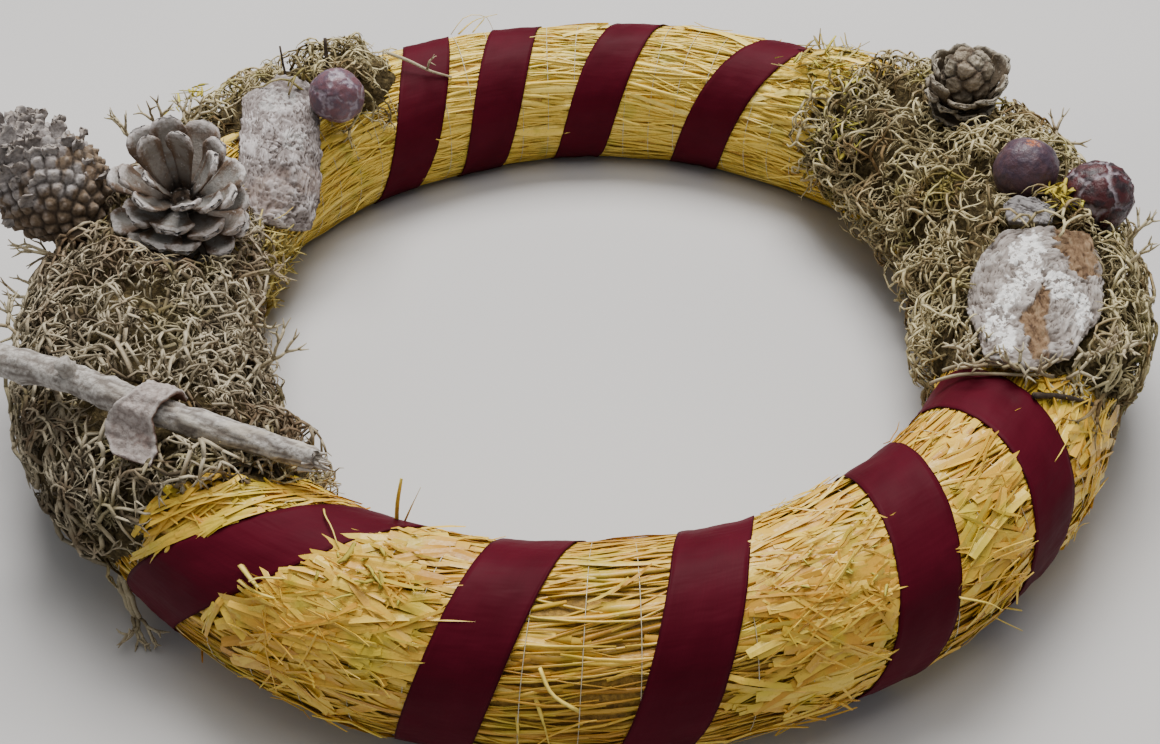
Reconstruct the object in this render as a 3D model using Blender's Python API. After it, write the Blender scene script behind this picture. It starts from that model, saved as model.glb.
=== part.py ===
"""Christmas wreath: a bound straw ring with wound ribbon, moss, cones, bark and a twig.

Lengths are in metres and +Z is up; named sizes are written as millimetres times MM. The
wreath lies on the flattened underside of its straw ring, at z = 0. Angles are in degrees.
Theta runs round the ring from +X towards +Y. Phi runs round the straw tube: 0 is its outer
side, 90 its top, 180 its inner side and 270 its underside.
"""
import math

import bmesh
import bpy
from mathutils import Matrix, Vector

MM = 0.001

# The straw ring
RING_RADIUS = 170 * MM
TUBE_HALF_WIDTH = 29.5 * MM
TUBE_HALF_HEIGHT = 31.5 * MM
TUBE_CENTRE_HEIGHT = 28.5 * MM
LUMP_HEIGHT = 0.7 * MM
RING_COLUMNS = 64
TUBE_ROWS = 16
# The ring's centre, set so that the whole wreath's box is centred on the origin
RING_CENTRE = Vector((6.3 * MM, 0.3 * MM, 0))
# The two stretches where ribbon passes below the straw, and how far the straw is raised there
WOUND_ARCS = ((38, 140), (210, 339))
WOUND_FLOOR = 1.5 * MM
WOUND_EASE = 4

# The ribbon
RIBBON_WIDTH = 22 * MM
RIBBON_THICKNESS = 0.5 * MM
RIBBON_LIFT = 0.6 * MM
RIBBON_STEP = 360 / TUBE_ROWS
# Each band as (phi, theta) pairs, outer side to inner side, in the order of winding
FRONT_BANDS = (
    ((-15, 224.5), (90, 239.6), (150, 247)),
    ((-18, 255.5), (90, 261.4), (150, 264.5)),
    ((-18, 274), (90, 280.9), (150, 285.5)),
    ((-18, 296.3), (90, 303.1), (150, 307)),
    ((-18, 313.5), (90, 320.7), (150, 324.5)),
)
BACK_BANDS = (
    ((-18, 50), (90, 56.4), (200, 65.5)),
    ((-18, 75), (90, 80.4), (200, 88.2)),
    ((-18, 94.5), (90, 99.3), (200, 107.1)),
    ((-18, 109.5), (90, 113.5), (200, 123.8)),
)

# The moss mats as rows of (theta, lowest phi, highest phi, thickness in mm); their roots reach
# into the straw, where they are cut away
MOSS_LIFT = 0.5 * MM
MOSS_ROOT = 3 * MM
MOSS_MARGIN = 8
MOSS_LUMP = 1.3 * MM
MOSS_FLOOR = 0.5 * MM
MOSS_EDGE_POWER = 4
MOSS_LEFT = (
    (159, 90, 150, -3),
    (163, 55, 175, 6),
    (170, 2, 192, 11),
    (180, -32, 202, 14),
    (195, -44, 210, 16),
    (207, -44, 210, 14),
    (214, -38, 204, 11),
    (220, -6, 196, 9),
    (226, 38, 184, 7),
    (230, 66, 172, 5),
    (234, 86, 160, -3),
)
MOSS_BACK_LEFT = (
    (119, 20, 115, -3),
    (122, 10, 125, 8),
    (127, -4, 145, 11),
    (134, -15, 125, 12),
    (146, -15, 102, 10),
    (154, -8, 90, 7),
    (159, 10, 80, -3),
)
MOSS_RIGHT = (
    (-32.5, 75, 140, -3),
    (-29, 45, 160, 7),
    (-25.5, 8, 188, 10),
    (-20, -20, 206, 12),
    (-12, -36, 210, 13),
    (4, -40, 210, 14),
    (18, -37, 210, 13),
    (32, -27, 206, 11),
    (43, 15, 190, 8),
    (49, 50, 165, 5),
    (52, 65, 150, -3),
)

# Clearances between pieces that touch
TOUCH_GAP = 0.4 * MM
SEAT_HEADROOM = 12 * MM
SEAT_SIDES = 12
SEAT_LEVELS = 5

# Open scales on a cone: their sections as shares of (length, width, thickness), how far they
# curl towards the tip in radians, the share of the room round the cone that one row fills, how
# far the point stands out as a share of the thickness, and the core's shrinking at its ends
SCALE_SECTIONS = ((0.62, 0.86, 0.55), (1.0, 1.0, 1.0))
SCALE_CURL = 0.18
SCALE_CROWDING = 0.80
SCALE_POINT = 0.45
CORE_END_SHARES = (0.8, 0.7)
CORE_STEM = 1.0 * MM
CORE_TIP = 2.5 * MM

# The open pine cone, by the middle of its stem end; rows run from stem to tip as (height and
# core radius in mm, angle of the scales above square to the axis, scale length in mm)
OPEN_CONE_BASE = Vector((-150.5, 13.0, 64.5)) * MM
OPEN_CONE_AXIS = Vector((0.11, -0.30, 0.945))
OPEN_CONE_SCALES = 8
OPEN_CONE_SCALE_WIDTH = 11.5 * MM
OPEN_CONE_SCALE_THICKNESS = 3.6 * MM
OPEN_CONE_ROWS = (
    (3.0, 7.0, -8, 13.0),
    (7.0, 8.5, 4, 16.5),
    (11.0, 9.0, 15, 18.5),
    (15.0, 8.5, 27, 19.5),
    (19.0, 7.5, 39, 20.0),
    (23.0, 6.0, 52, 18.5),
)

# The closed pine cone, by its middle; the two powers make it fuller towards the stem and blunter
CLOSED_CONE_MIDDLE = Vector((-201.0, 19.0, 83)) * MM
CLOSED_CONE_AXIS = Vector((-0.668, 0.587, 0.459))
CLOSED_CONE_LENGTH = 58 * MM
CLOSED_CONE_WIDTH = 41 * MM
CLOSED_CONE_SCALES = 11
CLOSED_CONE_RINGS = 15
CLOSED_CONE_BUMP = 1.7 * MM
CLOSED_CONE_LEAN = 0.88
CLOSED_CONE_BLUNTNESS = 0.72

# The small cone: a tight bud inside a cup of open scales
SMALL_CONE_BASE = Vector((156.8, 62.0, 71.0)) * MM
SMALL_CONE_AXIS = Vector((0.03, -0.17, 0.985))
SMALL_CONE_SCALES = 7
SMALL_CONE_SCALE_WIDTH = 9.5 * MM
SMALL_CONE_SCALE_THICKNESS = 2.8 * MM
SMALL_CONE_ROWS = (
    (2.5, 6.5, 10, 10.0),
    (6.0, 8.0, 30, 10.5),
    (10.5, 10.5, 55, 4.0),
    (16.0, 10.8, 62, 4.0),
    (22.0, 8.0, 68, 3.5),
)

# The cypress cones, by middle and diameter; each plate rises from its seam over two rings, given
# as shares of the way from its middle to its corners
BALL_LEFT_MIDDLE = Vector((-102.3, 101.5, 69.0)) * MM
BALL_LEFT_DIAMETER = 24 * MM
BALL_PLUM_MIDDLE = Vector((166.9, 3.7, 78)) * MM
BALL_PLUM_DIAMETER = 24 * MM
BALL_DARK_MIDDLE = Vector((190.2, -8.6, 72.6)) * MM
BALL_DARK_DIAMETER = 27 * MM
BALL_SEAM_DEPTH = 1.1 * MM
BALL_PLATE_RINGS = (0.86, 0.52)
BALL_POINT_HEIGHT = 0.3 * MM

# The bark plates: theta of the curved plate's middle, its place, its normal, the radius that it
# is curved to, and its outline as (along the ring, round the tube) in mm from the middle
BARK_THICKNESS = 3.5 * MM
BARK_ROUGH = 0.9 * MM
BARK_RINGS = (0.55, 1.0)
BARK_LEFT_THETA = 147
BARK_LEFT_MIDDLE = Vector((-124.8, 81.1, 61.4)) * MM
BARK_LEFT_NORMAL = Vector((0.50, -0.32, 0.80))
BARK_LEFT_CURVE = 58 * MM
BARK_LEFT_OUTLINE = (
    (-7, -27.5), (-29, -26), (-35, -15), (-21, 4), (4, 32),
    (15, 40), (27, 31), (38.5, 20.5), (32, 5), (12, -12),
)
BARK_RIGHT_THETA = 339
BARK_RIGHT_MIDDLE = Vector((158.7, -60.9, 73.0)) * MM
BARK_RIGHT_NORMAL = Vector((0.02, -0.14, 0.99))
BARK_RIGHT_CURVE = 42 * MM
BARK_RIGHT_OUTLINE = (
    (27, 21), (30, 4), (34.5, -9), (20, -15.7), (-3, -18.6),
    (-27.6, -10.3), (-40.5, 3), (-36.6, 17.4), (-9.5, 28), (13, 28),
)
CHIP_THETA = 353
CHIP_MIDDLE = Vector((162.1, -19.9, 76.5)) * MM
CHIP_NORMAL = Vector((0.02, -0.40, 0.92))
CHIP_CURVE = 20 * MM
CHIP_THICKNESS = 3.0 * MM
CHIP_OUTLINE = ((-5, 8), (-6, -1), (-4, -9), (2, -10), (5, -3), (6, 4), (3, 9))

# The twig: the points that its middle line passes through, and the radius at each, in mm
TWIG_LINE = (
    ((-200.0, -79.5, 80.5), 5.3),
    ((-187.5, -84.5, 79.5), 5.6),
    ((-165.0, -93.5, 79.2), 5.1),
    ((-150.0, -101.5, 78.6), 5.3),
    ((-136.0, -108.0, 77.0), 5.0),
    ((-122.0, -112.0, 74.0), 4.6),
    ((-100.0, -118.0, 69.0), 4.4),
    ((-84.5, -122.5, 66.0), 3.6),
)
TWIG_SIDES = 8
TWIG_STEPS_PER_POINT = 2
TWIG_KNOBBLE = 0.06
STUB_SIDES = 6
STUB_BASE = Vector((-168.0, -95.5, 80.0)) * MM
STUB_TIP = Vector((-164.0, -105.0, 84.0)) * MM
STUB_RADIUS = 2.2 * MM
STUB_TIP_RADIUS = 1.4 * MM

# The strip of bark folded over the twig: its middle line over the twig in the twig's cross plane
# as (across, up) in mm from the twig's middle line, with the half width there
STRIP_ALONG = 0.57
STRIP_THICKNESS = 1.8 * MM
STRIP_HEADROOM = 8 * MM
STRIP_SUNK_SECTIONS = 3
STRIP_LINE = (
    ((-15.5, -6.5), 6.0),
    ((-11.0, -4.6), 7.5),
    ((-8.0, -0.6), 7.0),
    ((-6.2, 4.0), 6.0),
    ((-1.6, 6.8), 5.0),
    ((3.8, 6.2), 5.0),
    ((7.4, 2.8), 5.5),
    ((8.6, -2.2), 5.0),
)


def degrees_point(theta, phi, width, height):
    """Point on an ellipse tube of the given half sizes, round the ring's middle circle."""
    t, p = math.radians(theta), math.radians(phi)
    rho = RING_RADIUS + width * math.cos(p)
    z = TUBE_CENTRE_HEIGHT + height * math.sin(p)
    return Vector((rho * math.cos(t), rho * math.sin(t), z))


def lump(theta, phi):
    """The straw tube's slow unevenness, outwards."""
    t, p = math.radians(theta), math.radians(phi)
    return LUMP_HEIGHT * (0.6 * math.sin(7 * t + 0.6) + 0.4 * math.sin(12 * t + 2 * p + 1.9))


def straw_floor(theta):
    """Height of the straw's flat underside: 0, and a little more where ribbon passes below."""
    theta %= 360
    inside = max(min(theta - low, high - theta) for low, high in WOUND_ARCS)
    share = min(max(inside / WOUND_EASE, 0), 1)
    return WOUND_FLOOR * share


def tube_point(theta, phi, lift=0.0):
    """Point at a height above the straw's surface, with the underside pressed flat."""
    swell = lift + lump(theta, phi)
    point = degrees_point(theta, phi, TUBE_HALF_WIDTH + swell, TUBE_HALF_HEIGHT + swell)
    point.z = max(point.z, straw_floor(theta) - lift)
    return point


def make_material(name, colour, roughness):
    material = bpy.data.materials.new(name)
    material.use_nodes = True
    shader = material.node_tree.nodes["Principled BSDF"]
    shader.inputs["Base Color"].default_value = (*colour, 1)
    shader.inputs["Roughness"].default_value = roughness
    shader.inputs["Metallic"].default_value = 0
    material.diffuse_color = (*colour, 1)
    return material


def make_object(name, points, faces, colour, roughness=0.8, smooth_angle=35):
    """One closed solid from points about the ring's centre, as an object with its own material."""
    mesh = bpy.data.meshes.new(name)
    mesh.from_pydata([tuple(p) for p in points], [], faces)
    shape = bmesh.new()
    shape.from_mesh(mesh)
    bmesh.ops.recalc_face_normals(shape, faces=shape.faces)
    shape.to_mesh(mesh)
    shape.free()
    mesh.shade_smooth()
    mesh.set_sharp_from_angle(angle=math.radians(smooth_angle))
    mesh.materials.append(make_material(name, colour, roughness))
    obj = bpy.data.objects.new(name, mesh)
    obj.location = RING_CENTRE
    bpy.context.scene.collection.objects.link(obj)
    return obj


def bridge(first, second):
    """Quads between two closed loops of the same number of point indices."""
    count = len(first)
    return [
        (first[i], first[(i + 1) % count], second[(i + 1) % count], second[i])
        for i in range(count)
    ]


def loops_solid(loops, close=False):
    """Points and faces of a solid lofted through closed loops, capped unless it closes on itself."""
    count = len(loops[0])
    points = [p for loop in loops for p in loop]
    index = [list(range(k * count, (k + 1) * count)) for k in range(len(loops))]
    faces = [f for a, b in zip(index, index[1:]) for f in bridge(a, b)]
    if close:
        faces += bridge(index[-1], index[0])
    else:
        faces += [tuple(reversed(index[0])), tuple(index[-1])]
    return points, faces


def slab_solid(top, bottom):
    """Points and faces of a solid between two grids of points with the same rows and columns."""
    rows, columns = len(top), len(top[0])
    points = [p for row in top for p in row] + [p for row in bottom for p in row]
    below = rows * columns
    faces = []
    for r in range(rows - 1):
        for c in range(columns - 1):
            corner, beyond = r * columns + c, (r + 1) * columns + c
            quad = (corner, corner + 1, beyond + 1, beyond)
            faces += [quad, tuple(i + below for i in reversed(quad))]
    rim = list(range(columns))
    rim += [r * columns + columns - 1 for r in range(1, rows)]
    rim += [(rows - 1) * columns + c for c in range(columns - 2, -1, -1)]
    rim += [r * columns for r in range(rows - 2, 0, -1)]
    faces += bridge([i + below for i in rim], rim)
    return points, faces


def smooth_value(keys, x):
    """Smooth curve through (x, value) pairs, flat beyond its ends."""
    if x <= keys[0][0]:
        return keys[0][1]
    if x >= keys[-1][0]:
        return keys[-1][1]
    k = max(i for i in range(len(keys) - 1) if keys[i][0] <= x)
    (x0, y0), (x1, y1) = keys[k], keys[k + 1]
    slope_in = (y1 - keys[k - 1][1]) / (x1 - keys[k - 1][0]) if k else (y1 - y0) / (x1 - x0)
    last = k + 2 == len(keys)
    slope_out = (y1 - y0) / (x1 - x0) if last else (keys[k + 2][1] - y0) / (keys[k + 2][0] - x0)
    span, t = x1 - x0, (x - x0) / (x1 - x0)
    return (
        (2 * t**3 - 3 * t**2 + 1) * y0
        + (t**3 - 2 * t**2 + t) * span * slope_in
        + (3 * t**2 - 2 * t**3) * y1
        + (t**3 - t**2) * span * slope_out
    )


def across_to(axis):
    """Two unit directions square to an axis, the first one level."""
    first = Vector((-axis.y, axis.x, 0)) if abs(axis.z) < 0.9999 else Vector((1, 0, 0))
    first.normalize()
    return first, axis.cross(first).normalized()


def make_straw_ring(name, lift=0.0):
    """The tube bent into a ring, slightly uneven and flat below; a lift makes it fatter.
    Every quad is split the same way, so that a fatter ring clears a thinner one everywhere."""
    loops = [
        [tube_point(360 * c / RING_COLUMNS, 360 * r / TUBE_ROWS, lift) for r in range(TUBE_ROWS)]
        for c in range(RING_COLUMNS)
    ]
    points, quads = loops_solid(loops, close=True)
    faces = [half for a, b, c, d in quads for half in ((a, b, c), (a, c, d))]
    return make_object(name, points, faces, (0.62, 0.44, 0.12))


def make_ribbon(name, bands):
    """A flat ribbon wound round the tube through the given bands, its two ends below the ring."""
    keys = [(phi + 360 * turn, theta) for turn, band in enumerate(bands) for phi, theta in band]
    start = (-90, keys[0][1])
    end = (360 * len(bands) - 90, keys[-1][1] + 1)
    keys = [start] + keys + [end]
    steps = round((keys[-1][0] - keys[0][0]) / RIBBON_STEP)
    loops = []
    for k in range(steps + 1):
        phi = keys[0][0] + k * RIBBON_STEP
        theta = smooth_value(keys, phi)
        slope = (smooth_value(keys, phi + 1) - smooth_value(keys, phi - 1)) / 2
        middle = degrees_point(theta, phi, TUBE_HALF_WIDTH, TUBE_HALF_HEIGHT)
        rho = Vector((middle.x, middle.y)).length
        skew = rho * slope / TUBE_HALF_WIDTH
        half = math.degrees(RIBBON_WIDTH / 2 * math.hypot(1, skew) / rho)
        top = RIBBON_LIFT + RIBBON_THICKNESS
        outer = [tube_point(theta + s * half, phi, top) for s in (-1, 0, 1)]
        inner = [tube_point(theta + s * half, phi, RIBBON_LIFT) for s in (1, 0, -1)]
        loops.append(outer + inner)
    points, faces = loops_solid(loops)
    return make_object(name, points, faces, (0.13, 0.007, 0.02), 0.45, 60)


def make_moss(name, rows, columns, steps):
    """A mat of moss over the tube: thick in the middle, and sinking into the straw at its edge.
    Its root inside the straw is cut away afterwards, so that its underside follows the tube."""
    low_phi = [(row[0], row[1]) for row in rows]
    high_phi = [(row[0], row[2]) for row in rows]
    thick = [(row[0], row[3]) for row in rows]
    first = min(row[1] for row in rows) - MOSS_MARGIN
    last = max(row[2] for row in rows) + MOSS_MARGIN
    top, bottom = [], []
    for c in range(columns + 1):
        theta = rows[0][0] + (rows[-1][0] - rows[0][0]) * c / columns
        low, high = smooth_value(low_phi, theta), smooth_value(high_phi, theta)
        top_row, bottom_row = [], []
        for s in range(steps + 1):
            phi = first + (last - first) * s / steps
            across = 2 * (phi - low) / (high - low) - 1
            crown = max(1 - across**MOSS_EDGE_POWER, 0)
            t, p = math.radians(theta), math.radians(phi)
            rough = MOSS_LUMP * (math.sin(23 * t + 3 * p) + math.sin(17 * t - 5 * p + 2))
            height = smooth_value(thick, theta) * MM + rough
            outer = tube_point(theta, phi, (height + MOSS_ROOT) * crown - MOSS_ROOT)
            outer.z = max(outer.z, MOSS_FLOOR)
            top_row.append(outer)
            bottom_row.append(tube_point(theta, phi, -2 * MOSS_ROOT))
        top.append(top_row)
        bottom.append(bottom_row)
    points, faces = slab_solid(top, bottom)
    return make_object(name, points, faces, (0.30, 0.25, 0.13), 0.95, 60)


def scaled_cone(rows, scales, base, axis, width, thickness):
    """Points and faces of a cone: a turned core with a blade-like scale grown from every other
    face of each row, staggered from row to row, each ending in a thick tip with a low point."""
    axis = axis.normalized()
    side, up = across_to(axis)
    columns = 2 * scales
    pitch = rows[1][0] - rows[0][0]
    heights = [(a[0] + b[0]) / 2 for a, b in zip(rows, rows[1:])]
    heights = [rows[0][0] - pitch / 2] + heights + [rows[-1][0] + pitch / 2]
    radii = [(a[1] + b[1]) / 2 for a, b in zip(rows, rows[1:])]
    radii = [rows[0][1] * CORE_END_SHARES[0]] + radii + [rows[-1][1] * CORE_END_SHARES[1]]
    points, faces = [], []

    def place(radius, height, turn, tilt=0.0, out=0.0, shift=0.0, above=0.0):
        """Point at a core radius and height, then out along a tilted scale, sideways and above it."""
        radial = side * math.cos(turn) + up * math.sin(turn)
        level = axis.cross(radial)
        along = radial * math.cos(tilt) + axis * math.sin(tilt)
        over = axis * math.cos(tilt) - radial * math.sin(tilt)
        root = base + radial * radius + axis * height
        points.append(root + along * out + level * shift + over * above)
        return len(points) - 1

    grid = [
        [place(r * MM, h * MM, 2 * math.pi * c / columns) for c in range(columns)]
        for h, r in zip(heights, radii)
    ]
    for k, (height, radius, tilt, length) in enumerate(rows):
        tilt = math.radians(tilt)
        for c in range(columns):
            after = (c + 1) % columns
            root = (grid[k][c], grid[k][after], grid[k + 1][after], grid[k + 1][c])
            if (c + k) % 2:
                faces.append(root)
                continue
            turn = 2 * math.pi * (c + 0.5) / columns
            room = (radius * MM + length * MM * math.cos(tilt)) * 2 * math.pi / scales
            loops = [root]
            for share, wide, deep in SCALE_SECTIONS:
                at = (radius * MM, height * MM, turn, tilt + SCALE_CURL * share, length * MM * share)
                half = min(width, room * SCALE_CROWDING) / 2 * wide
                low, high = -thickness * deep / 2, thickness * deep / 2
                corners = ((-half, low), (half, low), (half, high), (-half, high))
                loops.append(tuple(place(*at, shift, above) for shift, above in corners))
            for a, b in zip(loops, loops[1:]):
                faces.extend(bridge(a, b))
            reach = length * MM + thickness * SCALE_POINT
            tip = place(radius * MM, height * MM, turn, tilt + SCALE_CURL, reach)
            faces.extend((loops[-1][i], loops[-1][(i + 1) % 4], tip) for i in range(4))
    stem = place(0, heights[0] * MM - CORE_STEM, 0)
    crown = place(0, heights[-1] * MM + CORE_TIP, 0)
    faces += [(grid[0][(c + 1) % columns], grid[0][c], stem) for c in range(columns)]
    faces += [(grid[-1][c], grid[-1][(c + 1) % columns], crown) for c in range(columns)]
    return points, faces


def make_open_cone():
    points, faces = scaled_cone(
        OPEN_CONE_ROWS, OPEN_CONE_SCALES, OPEN_CONE_BASE, OPEN_CONE_AXIS,
        OPEN_CONE_SCALE_WIDTH, OPEN_CONE_SCALE_THICKNESS,
    )
    return make_object("pine_cone_open", points, faces, (0.20, 0.15, 0.12), 0.85)


def make_small_cone():
    points, faces = scaled_cone(
        SMALL_CONE_ROWS, SMALL_CONE_SCALES, SMALL_CONE_BASE, SMALL_CONE_AXIS,
        SMALL_CONE_SCALE_WIDTH, SMALL_CONE_SCALE_THICKNESS,
    )
    return make_object("cone_small", points, faces, (0.19, 0.16, 0.12), 0.85)


def make_closed_cone():
    """An egg-shaped cone covered with staggered rhombic scales, each raised to a point."""
    axis = CLOSED_CONE_AXIS.normalized()
    side, up = across_to(axis)
    count = CLOSED_CONE_SCALES

    def egg(share):
        """Radius at a share of the length from stem to tip."""
        fullness = math.sin(math.pi * share**CLOSED_CONE_LEAN) ** CLOSED_CONE_BLUNTNESS
        return CLOSED_CONE_WIDTH / 2 * fullness

    def place(ring, steps, raised=0.0):
        """Point on a ring, a number of scale widths round the cone."""
        share = (ring + 0.6) / (CLOSED_CONE_RINGS + 0.2)
        turn = 2 * math.pi * steps / count
        radial = side * math.cos(turn) + up * math.sin(turn)
        along = axis * (share - 0.5) * CLOSED_CONE_LENGTH
        return CLOSED_CONE_MIDDLE + along + radial * (egg(share) + raised)

    def beside(ring, column):
        """The points of the next ring on either side of a point."""
        stagger = ring % 2
        left = (ring + 1) * count + (column - 1 + stagger) % count
        right = (ring + 1) * count + (column + stagger) % count
        return left, right

    points, faces = [], []
    for ring in range(CLOSED_CONE_RINGS):
        points += [place(ring, column + ring % 2 / 2) for column in range(count)]
    for ring in range(CLOSED_CONE_RINGS - 2):
        for column in range(count):
            left, right = beside(ring, column)
            low, high = ring * count + column, (ring + 2) * count + column
            points.append(place(ring + 1, column + ring % 2 / 2, CLOSED_CONE_BUMP))
            peak = len(points) - 1
            faces += [(low, right, peak), (right, high, peak), (high, left, peak), (left, low, peak)]
    stem, tip = len(points), len(points) + 1
    points += [CLOSED_CONE_MIDDLE + axis * CLOSED_CONE_LENGTH * end for end in (-0.5, 0.5)]
    last = CLOSED_CONE_RINGS - 2
    for column in range(count):
        after = (column + 1) % count
        left, right = beside(0, column)
        faces += [(column, after, right), (column, stem, after)]
        left, right = beside(last, column)
        faces += [(last * count + column, right, left), (left, right, tip)]
    return make_object("pine_cone_closed", points, faces, (0.22, 0.17, 0.13), 0.9)


def make_ball(name, middle, diameter, turn, colour, seam_depth):
    """A cypress cone: a ball of twelve five-sided plates with sunken seams and a low point on each."""
    radius = diameter / 2
    golden = (1 + math.sqrt(5)) / 2
    centres = []
    corners = [Vector((a, b, c)) for a in (-1, 1) for b in (-1, 1) for c in (-1, 1)]
    for a in (-1, 1):
        for b in (-1, 1):
            corners += [
                Vector((0, a / golden, b * golden)),
                Vector((a / golden, b * golden, 0)),
                Vector((a * golden, 0, b / golden)),
            ]
            centres += [
                Vector((0, a * golden, b)),
                Vector((a * golden, b, 0)),
                Vector((a, 0, b * golden)),
            ]
    corners = [turn @ c.normalized() for c in corners]
    points = [middle + c * (radius - seam_depth) for c in corners]
    faces = []
    for centre in centres:
        centre = turn @ centre.normalized()
        first, second = across_to(centre)
        near = sorted(range(len(corners)), key=lambda i: -corners[i].dot(centre))[:5]
        near.sort(key=lambda i: math.atan2(corners[i].dot(second), corners[i].dot(first)))
        outer = near
        for share in BALL_PLATE_RINGS:
            ring = []
            for i in near:
                points.append(middle + centre.lerp(corners[i], share).normalized() * radius)
                ring.append(len(points) - 1)
            faces += bridge(outer, ring)
            outer = ring
        points.append(middle + centre * (radius + BALL_POINT_HEIGHT))
        faces += [(outer[i], outer[(i + 1) % 5], len(points) - 1) for i in range(5)]
    return make_object(name, points, faces, colour, 0.5, 50)


def curved_plate(theta, middle, normal, curve, outline, thickness, rough=0.0, grow=0.0, above=0.0):
    """Points and faces of a plate bent round an axis along the ring, with an uneven top.
    Its top and its underside are rings of points; grow widens it, and above raises its top."""
    normal = normal.normalized()
    t = math.radians(theta)
    along = Vector((-math.sin(t), math.cos(t), 0))
    along = (along - normal * along.dot(normal)).normalized()
    across = normal.cross(along)
    axis_point = middle - normal * curve
    centre_u = sum(u for u, s in outline) / len(outline)
    centre_s = sum(s for u, s in outline) / len(outline)

    def place(u, s, depth):
        angle = s * MM / curve
        radial = normal * math.cos(angle) + across * math.sin(angle)
        return axis_point + radial * (curve + depth) + along * u * MM

    count = len(outline)
    points, faces = [], []
    for depth, unevenness in ((above, rough), (-thickness, 0)):
        for ring in BARK_RINGS:
            for k, (u, s) in enumerate(outline):
                widened = grow / (math.hypot(u - centre_u, s - centre_s) * MM)
                reach = ring + widened if ring == BARK_RINGS[-1] else ring
                away_u, away_s = (u - centre_u) * reach, (s - centre_s) * reach
                wave = unevenness * math.sin(2.4 * k + 3 * ring)
                points.append(place(centre_u + away_u, centre_s + away_s, depth + wave))
        points.append(place(centre_u, centre_s, depth))
    layer = len(BARK_RINGS) * count + 1
    for start in (0, layer):
        inner = [start + i for i in range(count)]
        outer = [start + count + i for i in range(count)]
        hub = start + 2 * count
        faces += bridge(inner, outer)
        faces += [(inner[i], inner[(i + 1) % count], hub) for i in range(count)]
    faces += bridge([count + i for i in range(count)], [layer + count + i for i in range(count)])
    return points, faces


def make_bark_pieces():
    """The two bark plates and the chip, with the cutters that seat them in the moss."""
    seats = []
    for name, theta, middle, normal, curve, outline, thickness, colour in (
        ("bark_plate_left", BARK_LEFT_THETA, BARK_LEFT_MIDDLE, BARK_LEFT_NORMAL, BARK_LEFT_CURVE,
         BARK_LEFT_OUTLINE, BARK_THICKNESS, (0.42, 0.38, 0.38)),
        ("bark_plate_right", BARK_RIGHT_THETA, BARK_RIGHT_MIDDLE, BARK_RIGHT_NORMAL, BARK_RIGHT_CURVE,
         BARK_RIGHT_OUTLINE, BARK_THICKNESS, (0.55, 0.50, 0.48)),
        ("bark_chip", CHIP_THETA, CHIP_MIDDLE, CHIP_NORMAL, CHIP_CURVE, CHIP_OUTLINE, CHIP_THICKNESS,
         (0.45, 0.42, 0.40)),
    ):
        points, faces = curved_plate(theta, middle, normal, curve, outline, thickness, BARK_ROUGH)
        make_object(name, points, faces, colour, 0.9, 30)
        deeper = thickness + 2 * TOUCH_GAP
        points, faces = curved_plate(
            theta, middle, normal, curve, outline, deeper, 0, 2 * TOUCH_GAP, SEAT_HEADROOM,
        )
        seats.append(make_object(name + "_seat", points, faces, colour))
    return seats


def smooth_line(keys, steps):
    """Points and radii along a smooth curve through ((x, y, z), radius) pairs, in metres."""
    found = []
    for k in range((len(keys) - 1) * steps + 1):
        x = k / steps
        numbers = [smooth_value([(i, key[0][a]) for i, key in enumerate(keys)], x) for a in range(3)]
        radius = smooth_value([(i, key[1]) for i, key in enumerate(keys)], x)
        found.append((Vector(numbers) * MM, radius * MM))
    return found


def tube_loops(line, sides, extra=0.0):
    """Loops of points round a line of (point, radius) pairs, slightly knobbly."""
    loops = []
    for k, (point, radius) in enumerate(line):
        before, after = line[max(k - 1, 0)][0], line[min(k + 1, len(line) - 1)][0]
        side, up = across_to((after - before).normalized())
        loops.append([
            point
            + (side * math.cos(turn) + up * math.sin(turn))
            * (radius * (1 + TWIG_KNOBBLE * math.sin(2.1 * k + 2 * turn)) + extra)
            for turn in (2 * math.pi * s / sides for s in range(sides))
        ])
    return loops


def make_twig():
    """The bare twig with the stub of a side branch."""
    line = smooth_line(TWIG_LINE, TWIG_STEPS_PER_POINT)
    points, faces = loops_solid(tube_loops(line, TWIG_SIDES))
    twig = make_object("twig", points, faces, (0.45, 0.41, 0.37), 0.8, 50)
    stub_line = [(STUB_BASE, STUB_RADIUS), (STUB_TIP, STUB_TIP_RADIUS)]
    points, faces = loops_solid(tube_loops(stub_line, STUB_SIDES))
    stub = make_object("twig_stub", points, faces, (0.45, 0.41, 0.37))
    combine(twig, stub, "UNION")
    points, faces = loops_solid(tube_loops(line, TWIG_SIDES, 2 * TOUCH_GAP))
    return twig, make_object("twig_seat", points, faces, (0.45, 0.41, 0.37))


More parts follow.
